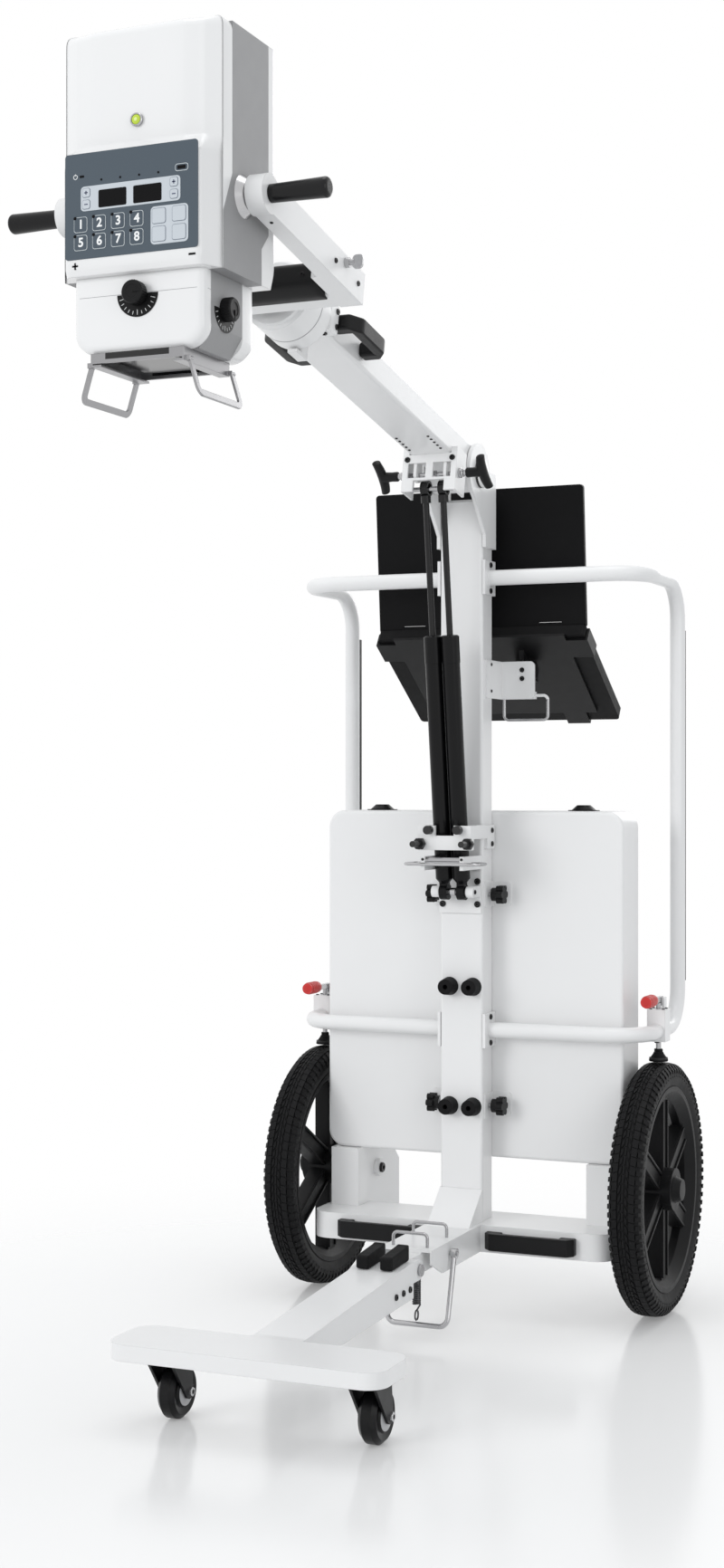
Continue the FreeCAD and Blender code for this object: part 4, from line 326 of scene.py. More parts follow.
def soften(name, width):
    """Round the sharp edges of a CAD node."""
    weld = nodes[name].modifiers.new("joined", "WELD")
    weld.merge_threshold = 0.00001
    bevel = nodes[name].modifiers.new("soft_edges", "BEVEL")
    bevel.width = width
    bevel.segments = 3
    bevel.limit_method = "ANGLE"
    bevel.angle_limit = math.radians(25)


soften("boom_handles", 0.0045)
soften("tray_handles", 0.0015)
soften("leg_blocks", 0.0035)


# Rear wheels
# Black rubber tyres with rows of slanted tread blocks and short lugs on both shoulders. The rims are moulded
# plastic with ribs along their six spokes, and a screw ends each axle on the inner side of its post.
SIDES = (("left", -1), ("right", 1))
tyre_rubber = finish("tyre_rubber", (0.008, 0.008, 0.0085), 0.55, shine=0.14, relief=0.25, grain=600,
                     edge=0.0006, mottle=0.06)
tyre_depth, tyre_edge, tyre_inset = 0.038, 0.0016, 0.0008
tread_blocks = 88
tread_pitch = math.tau / tread_blocks
tread_foot, tread_top = 0.0052, 0.0002
tread_flat, tread_drop, tread_lip = 0.012, 0.0075, 0.004
lug_low, lug_high, lug_slope, lug_turn = 0.0225, 0.0125, 0.0022, tread_pitch * 0.3


def block(mesh, corners):
    """Closed block from four inner and four outer corners."""
    points = [mesh.verts.new(corner) for corner in corners]
    for face in ((3, 2, 1, 0), (4, 5, 6, 7), (0, 1, 5, 4), (1, 2, 6, 5), (2, 3, 7, 6), (3, 0, 4, 7)):
        mesh.faces.new([points[corner] for corner in face])


def tyre_section(half_width, bead, crown):
    """Half outline of the tyre from bead to crown, as (radius, distance from the middle)."""
    return [(bead, half_width * 0.80), (bead + 0.010, half_width * 0.95), (crown - 0.020, half_width),
            (crown - 0.0085, half_width * 0.90), (crown - 0.0030, half_width * 0.52), (crown - tyre_edge, 0)]


def on_tyre(hub, radius, turned, away):
    """Point at a radius and a turn about the wheel's hub, away from its middle."""
    return hub @ Vector((radius * math.cos(turned), radius * math.sin(turned), away))


def tread_block(mesh, hub, crown, half_width, start, row, mirror):
    """Block of a row given as (inner and outer distance from the middle, width and lean in pitches)."""
    inner, outer, wide, lean = row
    corners = []
    for under in (tread_foot, tread_top):
        for away, slant, turns in ((inner, 0.0, (0, wide)), (outer, lean, (wide, 0))):
            drop = tread_drop * max(0.0, (away - tread_flat) / (half_width - tread_flat)) ** 1.6
            lip = tread_lip if away >= half_width else 0.0
            for turn in turns:
                turned = (start + turn + slant) * tread_pitch
                corners.append(on_tyre(hub, crown - drop - under - lip, turned, mirror * away))
    block(mesh, corners)


def shoulder_lug(mesh, hub, crown, half_width, turned, mirror):
    """Short lug on the shoulder of the tyre."""
    corners = []
    for proud in (-0.001, 0.0006):
        for under, turn, slope in ((lug_low, 0, 0), (lug_low, lug_turn, 0), (lug_high, lug_turn, lug_slope),
                                   (lug_high, 0, lug_slope)):
            away = half_width - tyre_inset + proud - slope
            corners.append(on_tyre(hub, crown - under, turned + turn, mirror * away))
    block(mesh, corners)


for side, sign in SIDES:
    low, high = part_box(f"tyre_{side}")
    crown = (high.z - low.z) / 2
    half_width = (high.x - low.x) / 2
    half = tyre_section(half_width - tyre_inset, crown - tyre_depth, crown)
    outline = half + [(radius, -away) for radius, away in reversed(half[:-1])]
    tyre = bmesh.new()
    hub = pointing("+x", places[f"wheel_{side}_spin"])
    turn_profile(tyre, outline + outline[:1], hub, 96)
    tread_rows = ((0.0, (-0.0016, 0.0016, 0.90, 0.0)), (0.27, (0.0034, 0.0074, 0.62, 0.45)),
                  (0.0, (0.0094, 0.0180, 0.93, 0.14)), (0.45, (0.0196, half_width, 0.52, 0.10)))
    for number in range(tread_blocks):
        for shift, row in tread_rows:
            for mirror in (-1, 1) if row[0] > 0 else (1,):
                start = number + shift + (0.25 if mirror > 0 else 0)
                tread_block(tyre, hub, crown, half_width, start, row, mirror)
    for number in range(tread_blocks):
        for mirror in (-1, 1):
            shoulder_lug(tyre, hub, crown, half_width, number * tread_pitch, mirror)
    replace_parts(show(f"tyre_tread_{side}", tyre, tyre_rubber, f"wheel_{side}"), f"tyre_{side}")

# The rim's edges go lighter: rubbed wear and a painted edge highlight.
rim_plastic = finish("rim_plastic", (0.006, 0.006, 0.0065), 0.45, shine=0.16, relief=0.15, grain=700,
                     edge=0.0015, edge_wear_and_highlight=(0.035, 0.035, 0.036))
dress(rim_plastic, "rim_left", "rim_right")


def boxed(mesh, low, high, matrix=Matrix.Identity(4), rounding=0.0, segments=2):
    """Box between two corners of a frame, with rounded edges where a rounding is given."""
    made = bmesh.ops.create_cube(mesh, size=1)["verts"]
    size = Vector(high) - Vector(low)
    middle = (Vector(high) + Vector(low)) / 2
    for vert in made:
        vert.co = Vector((vert.co.x * size.x, vert.co.y * size.y, vert.co.z * size.z)) + middle
    if rounding:
        edges = list({edge for vert in made for edge in vert.link_edges})
        made = bmesh.ops.bevel(mesh, geom=edges + made, offset=rounding, segments=segments, affect="EDGES",
                               profile=0.5)["verts"] + [vert for vert in made if vert.is_valid]
    for vert in set(made):
        vert.co = matrix @ vert.co


post_inner = 0.191
post_screws = bmesh.new()
for side, sign in SIDES:
    inwards = "-x" if sign > 0 else "+x"
    spot = (sign * post_inner, axle_y, places[f"wheel_{side}_spin"].z)
    socket_screw(post_screws, pointing(inwards, spot), 0.0085)
show("post_screws", post_screws, black_screw, "frame")
spoke_count = 6
rib_start, rib_end, rib_apart, rib_half = 0.030, 0.1420, 0.0125, 0.0022
rib_foot, rib_top = 0.0105, 0.0140
for side, sign in SIDES:
    ribs = bmesh.new()
    for number in range(spoke_count):
        turn = Matrix.Rotation(number * math.tau / spoke_count, 4, "Z")
        spoke = pointing("+x", places[f"wheel_{side}_spin"]) @ turn
        for inner, outer in ((-rib_top, -rib_foot), (rib_foot, rib_top)):
            for across in (-rib_apart, rib_apart):
                boxed(ribs, (rib_start, across - rib_half, inner), (rib_end, across + rib_half, outer), spoke,
                      0.0008, 1)
    show(f"spoke_ribs_{side}", ribs, rim_plastic, f"wheel_{side}")


# Side push frames and the parking brakes
# Bent steel tube under white powder coat, with a flange at each end and black strips on the rear uprights.
# Each brake has a white block, a lever with a dipped red grip and a steel plunger with a black foot.
frame_half, frame_tube = 0.296, 0.0125
strip_black = finish("strip_black", BLACK, 0.5, shine=0.15, relief=0.05)
upright_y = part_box("side_frames")[1].y - frame_tube
strip_half, strip_low, strip_high = 0.0083, 0.528, 1.115
strip_inner, strip_outer = upright_y + 0.0085, upright_y + 0.0235
strips = bmesh.new()
for side, sign in SIDES:
    boxed(strips, (sign * frame_half - strip_half, strip_inner, strip_low),
          (sign * frame_half + strip_half, strip_outer, strip_high), rounding=0.0016)
show("frame_strips", strips, strip_black, "frame")
lever_y = places["brake_lever_left_lift"].y
lever_pin, lever_pin_low, lever_half = 0.004, 0.4935, 0.003
dress(painted("white_brake_base", ((frame_half - lever_half, lever_y - lever_pin, lever_pin_low),
                                   (frame_half + lever_half, lever_y + lever_pin, None), STEEL_ZONE)),
      "brake_bases")
grip_start = lever_y - 0.0495
dress(finish("brake_lever", (0.55, 0.012, 0.010), 0.32, coat=0.3, relief=0.05,
             zones=[((None, grip_start, None), OPEN, STEEL_ZONE)]), "brake_lever_left", "brake_lever_right")
grip_red = finish("grip_red", (0.50, 0.010, 0.008), 0.34, coat=0.2, relief=0.05)
grip_end = Vector((0, -0.0908, 0.005))
grip_radius, grip_ring, ring_start, ring_pitch = 0.0094, 0.0103, 0.0055, 0.0058
grip_profile = [(0.0, 0.0), (0.0060, 0.0008), (0.0092, 0.0040)]
for number in range(5):
    start = ring_start + number * ring_pitch
    grip_profile += [(grip_radius, start), (grip_ring, start + 0.0014), (grip_ring, start + 0.0034),
                     (grip_radius, start + 0.0048)]
grip_profile += [(0.0098, 0.0360), (grip_radius, 0.0400), (0.0, 0.0402)]
foot_low, foot_high = 0.4088, 0.4235
foot_profile = [(0.0, foot_low), (0.0148, foot_low), (0.0156, 0.4100), (0.0152, 0.4125), (0.0120, 0.4165),
                (0.0085, 0.4215), (0.0078, foot_high), (0.0, foot_high)]
clamp_under, clamp_top, clamp_along, clamp_across = 0.4415, 0.4935, 0.009, 0.0105
for side, sign in SIDES:
    pivot = places[f"brake_lever_{side}_lift"]
    sleeve = bmesh.new()
    turn_profile(sleeve, grip_profile, pointing("+y", pivot + grip_end), 28)
    show(f"brake_grip_{side}", sleeve, grip_red, f"brake_lever_{side}")
    foot = bmesh.new()
    turn_profile(foot, foot_profile, Matrix.Translation((pivot.x, axle_y, 0)), 36)
    hex_nut(foot, Matrix.Translation((pivot.x, axle_y, foot_high)), 0.0072, 0.0055)
    show(f"brake_foot_{side}", foot, rubber, f"brake_plunger_{side}")
    clamps = bmesh.new()
    for along in (-clamp_along, clamp_along):
        socket_screw(clamps, pointing("-z", (pivot.x, axle_y + along, clamp_under)), 0.0042)
        for across in (-clamp_across, clamp_across):
            socket_screw(clamps, pointing("+z", (pivot.x + across, axle_y + along, clamp_top)), 0.0026)
    show(f"brake_screws_{side}", clamps, black_screw, "frame")
plunger_foot = 0.4152
dress(finish("brake_plunger", STEEL, 0.22, metallic=1.0, relief=0.02,
             zones=[(OPEN, (None, None, plunger_foot), (BLACK, 0.55, 0.0))]),
      "brake_plunger_left", "brake_plunger_right")


# Front leg, casters and foot loop
# A tapered box leg with a wide end bar under white powder coat. Two swivel casters with black forks and grey
# hubs stand under the bar, and a sprung loop of plated wire hangs at the hinge.
dress(white_paint, "leg")
fork_black = finish("fork_black", BLACK, 0.33, shine=0.22, relief=0.03, edge=0.001)
leg_side, leg_screws_up = 0.038, 0.108
leg_screws = bmesh.new()
for sign, outwards in OUTWARDS:
    for back in (-0.490, -0.462, -0.436):
        spot = (sign * leg_side, axle_y + back, leg_screws_up)
        socket_screw(leg_screws, pointing(outwards, spot), 0.0048)
show("leg_screws", leg_screws, black_screw, "leg")
caster_rubber = finish("caster_rubber", BLACK, 0.3, shine=0.2, relief=0.03)
hub_grey = finish("hub_grey", (0.46, 0.46, 0.47), 0.45, relief=0.05)
plated = finish("plated_steel", (0.50, 0.50, 0.51), 0.2, metallic=1.0, relief=0.02, grain=400, edge=0.0004)
hub_face, fork_face = 0.014, 0.0201
hub_profile = [(0.0046, 0.0004), (0.0100, 0.0010), (0.0165, 0.0006), (0.0195, 0.0002), (0.0195, -0.001)]
for side, sign in SIDES:
    dress(fork_black, f"caster_fork_{side}")
    dress(caster_rubber, f"caster_wheel_{side}")
    roll = places[f"caster_{side}_roll"]
    hub = bmesh.new()
    nuts = bmesh.new()
    for face, outwards in OUTWARDS:
        turn_profile(hub, hub_profile, pointing(outwards, roll + Vector((face * hub_face, 0, 0))), 40)
        hex_nut(nuts, pointing(outwards, roll + Vector((face * fork_face, 0, 0))), 0.0065, 0.0045)
    show(f"caster_hub_{side}", hub, hub_grey, f"caster_roller_{side}")
    show(f"caster_nuts_{side}", nuts, plated, f"caster_{side}")
dress(plated, "foot_loop", "wire_bail", "yoke_screw", "trunnions")


def skin(mesh, rings):
    """Closed skin over rings of equal count."""
    for first, second in zip(rings, rings[1:]):
        for step in range(len(first)):
            after = (step + 1) % len(first)
            mesh.faces.new([first[step], first[after], second[after], second[step]])
    mesh.faces.new(rings[0])
    mesh.faces.new(list(reversed(rings[-1])))


def swept(mesh, points, radius, sides):
    """Round wire through a list of points."""
    rings = []
    side_way = Vector((0.3, 0.5, 0.8))
    turns = [math.tau * step / sides for step in range(sides)]
    for number, point in enumerate(points):
        ahead = (points[min(number + 1, len(points) - 1)] - points[max(number - 1, 0)]).normalized()
        side_way = side_way.cross(ahead).cross(ahead).normalized() * -1
        up_way = ahead.cross(side_way)
        rings.append([mesh.verts.new(point + (side_way * math.cos(turn) + up_way * math.sin(turn)) * radius)
                      for turn in turns])
    skin(mesh, rings)


low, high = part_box("foot_spring")
spring_y = places["foot_loop_swing"].y - 0.033
coil_radius, coil_wire, coil_turns, coil_steps = 0.0055, 0.0014, 15, 15 * 24
coil_low, coil_high, neck_low = low.z + 0.026, high.z - 0.010, low.z + 0.0170
coil = [Vector((0, spring_y, neck_low))]
for step in range(coil_steps + 1):
    share = step / coil_steps
    turned = coil_turns * math.tau * share
    coil.append(Vector((coil_radius * math.cos(turned), spring_y + coil_radius * math.sin(turned),
                        coil_low + (coil_high - coil_low) * share)))
coil.append(Vector((coil_radius, spring_y, high.z)))
eye_middle, eye_wide, eye_tall = low.z + 0.0100, 0.0065, 0.0075
eye = []
for degrees in range(-165, 166, 15):
    turn = math.radians(degrees)
    eye.append(Vector((0, spring_y + eye_wide * math.sin(turn), eye_middle + eye_tall * math.cos(turn))))
spring = bmesh.new()
swept(spring, coil, coil_wire, 8)
swept(spring, eye, coil_wire, 8)
spring_steel = finish("spring_steel", (0.10, 0.10, 0.105), 0.35, metallic=1.0, relief=0.02, grain=400,
                      edge=0.0003)
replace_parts(show("foot_spring_coil", spring, spring_steel, "foot_loop"), "foot_spring")


# Boom, swivel housing and strut bracket
# A white box tube with an end block that carries the round bearing housing of the swivel. The bracket under
# its rear end holds the gas springs' upper pin, a lock pin between two lugs and two sprung T-handles.
tilt = places["head_tilt"]
boom_angle = math.atan2(tilt.z - lift.z, lift.y - tilt.y)
boom_frame = Matrix.Translation(lift) @ Matrix.Rotation(-boom_angle, 4, "X")
dress(white_paint, "boom", "swivel_housing", "yoke")
anchor_spot = boom_frame @ Vector((0, -0.0854, -0.0526))
anchor_radius, bracket_inner = 0.0055, 0.0405
dress(painted("white_strut_bracket",
              ((None, anchor_spot.y - anchor_radius, anchor_spot.z - anchor_radius),
               (bracket_inner, anchor_spot.y + anchor_radius, anchor_spot.z + anchor_radius), STEEL_ZONE)),
      "strut_bracket")
tee_side, tee_along, tee_up = 0.085, -0.097, -0.033
tee_turn, tee_half, tee_round = math.radians(56), 0.0318, 0.93
bracket_face = 0.0453
collar_profile = [(0.0, -0.012), (0.0039, -0.012), (0.0039, 0.0), (0.0078, 0.0), (0.0078, 0.0030),
                  (0.0062, 0.0040), (0.0062, 0.0075), (0.0048, 0.0082), (0.0048, 0.0150)]
neck_profile = [(0.0, 0.0120), (0.0068, 0.0120), (0.0078, 0.0135), (0.0074, 0.0230), (0.0082, 0.0340),
                (0.0080, 0.0400), (0.0, 0.0470)]


def tee_bar(mesh, sign, sides=16, steps=20):
    """Bar of a T-handle: bowed outwards, thicker in the middle and round at its ends."""
    bar_frame = boom_frame @ Matrix.Translation((sign * tee_side, tee_along, tee_up))
    bar_frame = bar_frame @ Matrix.Rotation(tee_turn, 4, "X")
    turns = [math.tau * step / sides for step in range(sides)]
    rings = []
    for number in range(steps + 1):
        share = number / steps * 2 - 1
        bow = sign * (0.0040 * abs(share) ** 2.2 - 0.001)
        radius = 0.0078 - 0.0012 * share ** 2
        if abs(share) >= tee_round:
            radius = 0.0066 * math.sqrt(max(0.05, 1 - ((abs(share) - tee_round) / (1 - tee_round)) ** 2))
        ring = [Vector((bow + radius * math.cos(turn), radius * math.sin(turn), share * tee_half))
                for turn in turns]
        rings.append([mesh.verts.new(bar_frame @ spot) for spot in ring])
    skin(mesh, rings)


for (side, sign), (_, outwards) in zip(SIDES, OUTWARDS):
    stem = pointing(outwards, (sign * bracket_face, tee_along, tee_up), boom_frame)
    collar = bmesh.new()
    turn_profile(collar, collar_profile, stem, 32)
    show(f"pull_collar_{side}", collar, plated, f"pull_knob_{side}")
    handle = bmesh.new()
    turn_profile(handle, neck_profile, stem, 32)
    tee_bar(handle, sign)
    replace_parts(show(f"tee_handle_{side}", handle, moulded, f"pull_knob_{side}"),
                f"pull_knob_{side}")
lock_half, lock_radius, lock_ring, lock_ring_half = 0.0325, 0.0034, 0.0062, 0.0070
lock = bmesh.new()
turn_profile(lock, [(0, -lock_half), (lock_radius, -lock_half), (lock_radius, -lock_ring_half),
                    (lock_ring, -lock_ring_half), (lock_ring, lock_ring_half), (lock_radius, lock_ring_half),
                    (lock_radius, lock_half), (0, lock_half)],
             pointing("+x", (0, tee_along, tee_up), boom_frame), 24)
show("lock_pin", lock, plated, "boom")
lug_half, lug_thick, lug_inner, boom_under = 0.0118, 0.005, 0.0225, -0.0035
lug_outline = [(lug_half, boom_under), (-lug_half, boom_under)]
for degrees in range(0, 181, 12):
    turn = math.radians(degrees)
    lug_outline.append((-lug_half * math.cos(turn), tee_up - lug_half * math.sin(turn)))
lugs = bmesh.new()
for sign in (-1, 1):
    skin(lugs, [[lugs.verts.new(boom_frame @ Vector((sign * across, tee_along + along, up)))
                 for along, up in lug_outline] for across in (lug_inner, lug_inner + lug_thick)])
show("lock_lugs", lugs, white_paint, "boom")
block_side, block_along, block_screws_up = 0.048, -0.593, (0.006, 0.028)
block_under_side, block_under_along, boom_face = 0.034, -0.600, -0.004
web_row_side, web_row_along, web_row_pitch = 0.026, -0.135, 0.0135
web_side, web_along, web_up = 0.0375, -0.112, -0.012
handle_side, handle_screws, swivel_up = 0.0612, (-0.484, -0.566), 0.018


def boom_screw(mesh, axis, spot, radius):
    """Socket screw at a spot given along the boom from its lift pin."""
    socket_screw(mesh, pointing(axis, spot, boom_frame), radius)


boom_screws = bmesh.new()
for sign, outwards in OUTWARDS:
    for up in block_screws_up:
        boom_screw(boom_screws, outwards, (sign * block_side, block_along, up), 0.0042)
    boom_screw(boom_screws, "-z", (sign * block_under_side, block_under_along, boom_face), 0.0042)
    for number in range(5):
        along = web_row_along - web_row_pitch * number
        boom_screw(boom_screws, "-z", (sign * web_row_side, along, boom_face), 0.0022)
    boom_screw(boom_screws, "-y", (sign * web_side, web_along, web_up), 0.0045)
    for along in handle_screws:
        boom_screw(boom_screws, outwards, (sign * handle_side, along, swivel_up), 0.0032)
show("boom_screws", boom_screws, black_screw, "boom")
lift_cap = 0.0464
cap_profile = [(0.024, -0.0005), (0.024, 0.0010), (0.0225, 0.0022), (0.0180, 0.0026), (0.0165, 0.0014),
               (0.0070, 0.0014), (0.0060, 0.0026), (0, 0.0026)]
caps = bmesh.new()
for sign, outwards in OUTWARDS:
    turn_profile(caps, cap_profile, pointing(outwards, lift + Vector((sign * lift_cap, 0, 0))), 48)
show("lift_pin_caps", caps, white_paint, "frame")
seam_radius, seam_front = 0.0478, -0.640
seam = bmesh.new()
turn_profile(seam, [(seam_radius, 0.0), (seam_radius + 0.0006, 0.0003), (seam_radius + 0.0006, 0.0013),
                    (seam_radius, 0.0016)], pointing("-y", (0, seam_front, swivel_up), boom_frame), 64)
seam_grey = finish("seam_grey", (0.30, 0.30, 0.31), 0.5, relief=0.0, edge=0.0002)
show("housing_seam", seam, seam_grey, "boom")


# Gas springs
# Two black painted steel cylinders side by side with dark ground rods and a collar near each cylinder's top.
# They hang on pins through the eyes at their ends, with a turned spacer between the lower eyes.
strut_black = finish("strut_black", (0.003, 0.003, 0.0035), 0.24, shine=0.2, relief=0.02, edge=0.0008)
dress(strut_black, "strut_cylinders")
dress(finish("strut_rods", (0.008, 0.008, 0.0085), 0.25, shine=0.3, relief=0.01), "strut_rods")
stroke = next(joint for joint in frame["joints"] if joint["name"] == "strut_stroke")
lean = Vector(stroke["axis"]).normalized()
strut_turn = Vector((0, 0, 1)).rotation_difference(lean).to_matrix().to_4x4()
strut_frame = Matrix.Translation(strut_pivot) @ strut_turn
strut_side = 0.0147
strut_collar = [(0.0138, 0.368), (0.0146, 0.3685), (0.0146, 0.4105), (0.0120, 0.4125), (0.0056, 0.4125)]
collars = bmesh.new()
for sign in (-1, 1):
    turn_profile(collars, strut_collar, strut_frame @ Matrix.Translation((sign * strut_side, 0, 0)), 40)
show("strut_collars", collars, strut_black, "strut_cylinders")
spacer_profile = [(0.0, -0.0046), (0.0064, -0.0046), (0.0070, -0.0040), (0.0070, 0.0040), (0.0064, 0.0046),
                  (0.0, 0.0046)]
spacer = bmesh.new()
turn_profile(spacer, spacer_profile, pointing("+x", strut_pivot), 32)
show("strut_spacer", spacer, plated, "frame")


# Yoke, swivel hub and grip pad
# White cast arms on a crossbar, a black hub at the swivel and a soft black pad along the crossbar. A nickel
# wing screw locks the tilt.
dress(finish("swivel_hub", BLACK, 0.4, shine=0.18, relief=0.05), "swivel_hub")


def soft_corner(points, radius, steps=5):
    """Round every inner corner of an open line of (across, depth) points."""
    line = [Vector(points[0])]
    for before, corner, after in zip(points, points[1:], points[2:]):
        before, corner, after = Vector(before), Vector(corner), Vector(after)
        first = corner + (before - corner).normalized() * radius
        second = corner + (after - corner).normalized() * radius
        for step in range(steps + 1):
            share = step / steps
            line.append(first * (1 - share) ** 2 + corner * 2 * share * (1 - share) + second * share ** 2)
    line.append(Vector(points[-1]))
    return line


pad_rear, pad_waist, pad_front, pad_half, pad_screws = -0.7448, -0.7560, -0.7785, 0.104, 0.082
pad_section = soft_corner([(pad_rear, -0.0232), (pad_waist, -0.0236), (pad_front, -0.0150),
                           (pad_front, 0.0140), (pad_waist, 0.0232), (pad_rear, 0.0228)], 0.0065, 4)
pad_end = ((0.90, 1.0), (0.955, 0.93), (0.985, 0.80), (1.0, 0.62))
pad_spots = [(-across, shrink) for across, shrink in reversed(pad_end)] + list(pad_end)
pad = bmesh.new()
pad_rings = []
for across, shrink in pad_spots:
    ring = [Vector((across * pad_half, pad_rear + (spot.x - pad_rear) * shrink, spot.y))
            for spot in pad_section]
    pad_rings.append([pad.verts.new(boom_frame @ spot) for spot in ring])
skin(pad, pad_rings)
for sign in (-1, 1):
    boom_screw(pad, "-y", (sign * pad_screws, pad_front, -0.001), 0.0030)
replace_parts(show("grip_pad", pad, moulded, "yoke"), "yoke_pad")
arm_side, arm_screws = 0.140, (-0.733, -0.805)
arm_foot_side, arm_foot_along, arm_foot_up = 0.1285, -0.965, -0.021
yoke_screws = bmesh.new()
for sign, outwards in OUTWARDS:
    for along in arm_screws:
        boom_screw(yoke_screws, outwards, (sign * arm_side, along, 0.0), 0.0035)
    boom_screw(yoke_screws, "-z", (sign * arm_foot_side, arm_foot_along, arm_foot_up), 0.0022)
show("yoke_screws", yoke_screws, black_screw, "yoke")


# X-ray head
# Moulded shells: a glossy white cover whose upper face is set back, a grey textured middle and a white rear.
# Polished flanges join the head to the yoke, and long black grips stick out at both ends of the tilt axis.
shell_white = finish("shell_white", (0.82, 0.82, 0.82), 0.22, coat=0.35, relief=0.015, edge=0.003)
shell_grey = finish("shell_grey", (0.30, 0.30, 0.305), 0.5, relief=0.22, grain=2200, edge=0.0015, mottle=0.03)
dress(shell_white, "head_back")
head_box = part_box("head_front")
head_half = head_box[1].x
panel_depth = tilt.y - head_box[0].y
head_top, head_low = head_box[1].z - tilt.z, head_box[0].z - tilt.z
seam_high, seam_low, seam_start, seam_drop = 0.031, 0.054, 0.020, 0.048
ramp_low, ramp_high, set_back, narrowing = 0.039, 0.060, 0.015, 0.05
flat_half, side_bevel, side_drop = 0.064, 0.020, 0.0045
panel_half, side_depth, corner_round = 0.0885, 0.0515, 0.006
crown_round, lip_height, lip_depth = 0.012, 0.009, 0.005
edge_line = soft_corner([(-head_half, seam_low - 0.002), (-head_half, side_depth), (-panel_half, panel_depth),
                         (panel_half, panel_depth), (head_half, side_depth), (head_half, seam_low - 0.002)],
                        corner_round)
flat_places = [0.0, 0.016, 0.032, 0.048, 0.0632, 0.0648, 0.073, 0.082]
flat_places = [-place for place in flat_places[:0:-1]] + flat_places
middle = len(edge_line) // 2
flat_line = [Vector((place, panel_depth)) for place in flat_places]
across_line = edge_line[:middle] + flat_line + edge_line[middle:]


def share_of(value, start, end):
    """How far a value lies from a start to an end, kept between 0 and 1."""
    return min(1.0, max(0.0, (value - start) / (end - start)))


def risen(up):
    """How far up the ramp between the keypad face and the upper face a height lies."""
    return share_of(up, ramp_low, ramp_high)


def set_behind(across, up):
    """How far the upper face with its bevelled sides lies behind the keypad face."""
    beside = share_of(abs(across), flat_half, flat_half + side_bevel)
    return risen(up) * (set_back + side_drop * beside)


def rounded_inset(distance, radius):
    """Setback of a rounded edge at a distance from its end."""
    if distance >= radius:
        return 0.0
    return radius - math.sqrt(max(0.0, radius ** 2 - (radius - distance) ** 2))


heights = [head_low, head_low + 0.0012, head_low + 0.003, head_low + 0.006, head_low + lip_height]
heights += [-0.060, -0.028, -0.020, -0.010, 0.0, 0.010, 0.020, 0.035]
heights += [0.0386, 0.0394, 0.0425, 0.0495, 0.0565, 0.0596, 0.0604, 0.064]
heights += [0.080, 0.100, 0.120, 0.140, 0.160, 0.180]
heights += [head_top - crown_round * math.cos(math.radians(step * 9)) for step in range(1, 11)]
cover = bmesh.new()
rows = []
for up in heights:
    seam = seam_high + (seam_low - seam_high) * share_of(seam_start - up, 0, seam_drop)
    crown = rounded_inset(head_top - up, crown_round)
    lip = lip_depth * share_of(head_low + lip_height - up, 0, lip_height)
    row = [Vector((-head_half + crown * 0.5, seam))]
    for place in across_line:
        share = share_of(place.y, seam_low, panel_depth)
        depth = place.y - (set_behind(place.x, up) + crown + lip) * share
        inwards = 1 - crown * 0.5 / head_half - narrowing * risen(up) * share
        row.append(Vector((place.x * inwards, max(depth, seam + 0.0005))))
    row.append(Vector((head_half - crown * 0.5, seam)))
    rows.append([cover.verts.new((spot.x, tilt.y - spot.y, tilt.z + up)) for spot in row])
for lower, upper in zip(rows, rows[1:]):
    for step in range(len(lower) - 1):
        cover.faces.new([lower[step], lower[step + 1], upper[step + 1], upper[step]])
cover.faces.new(list(reversed(rows[0])))
cover.faces.new(rows[-1])
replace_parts(show("head_cover", cover, shell_white, "head"), "head_front")
dress(shell_grey, "head_middle", "collimator_body")
dress(finish("grip_black", (0.003, 0.003, 0.0035), 0.2, shine=0.3, relief=0.01, edge=0.001), "grips")


# Control panel
# A slate membrane film on the front cover with raised number keys, a pale group of function keys, two dark
# displays and small lamps. A round bubble level sits above it in a polished ring.
panel_film = finish("panel_film", (0.078, 0.100, 0.122), 0.42, shine=0.3, relief=0.05, grain=2600,
                    edge=0.0004)
dress(panel_film, "control_panel")
film_pale = finish("film_pale", (0.56, 0.60, 0.64), 0.42, shine=0.3, relief=0.03, edge=0.0002)
film_line = finish("film_line", (0.62, 0.66, 0.68), 0.45, relief=0.0, edge=0.0001)
film_key = finish("film_key", (0.072, 0.093, 0.115), 0.42, shine=0.3, relief=0.05, edge=0.0003)
film_white = finish("film_white", (0.85, 0.86, 0.86), 0.45, relief=0.0, edge=0.0001)
film_navy = finish("film_navy", (0.035, 0.045, 0.11), 0.45, relief=0.0, edge=0.0001)
display_glass = finish("display_glass", (0.003, 0.003, 0.0035), 0.35, shine=0.12, relief=0.02, edge=0.0002)
panel_frame = Matrix.Translation((0, tilt.y - 0.085, tilt.z)) @ AXES["-y"]


def plate(mesh, across, up, width, height, corner, low, high, holder=panel_frame):
    """Rounded plate on the panel, centred at a place across and up, between two heights above the film."""
    ring = []
    for quarter, (side_x, side_y) in enumerate(((1, 1), (-1, 1), (-1, -1), (1, -1))):
        for step in range(5):
            turned = math.radians(quarter * 90 + step * 22.5)
            ring.append((across + side_x * (width / 2 - corner) + corner * math.cos(turned),
                         up + side_y * (height / 2 - corner) + corner * math.sin(turned)))
    skin(mesh, [[mesh.verts.new(holder @ Vector((*spot, level))) for spot in ring] for level in (low, high)])


def plates(name, material, *rows, slot="panel_film", holder=panel_frame):
    """Piece of several plates, each given as (across, up, width, height, corner, low, high)."""
    mesh = bmesh.new()
    for row in rows:
        plate(mesh, *row, holder)
    show(name, mesh, material, "head")


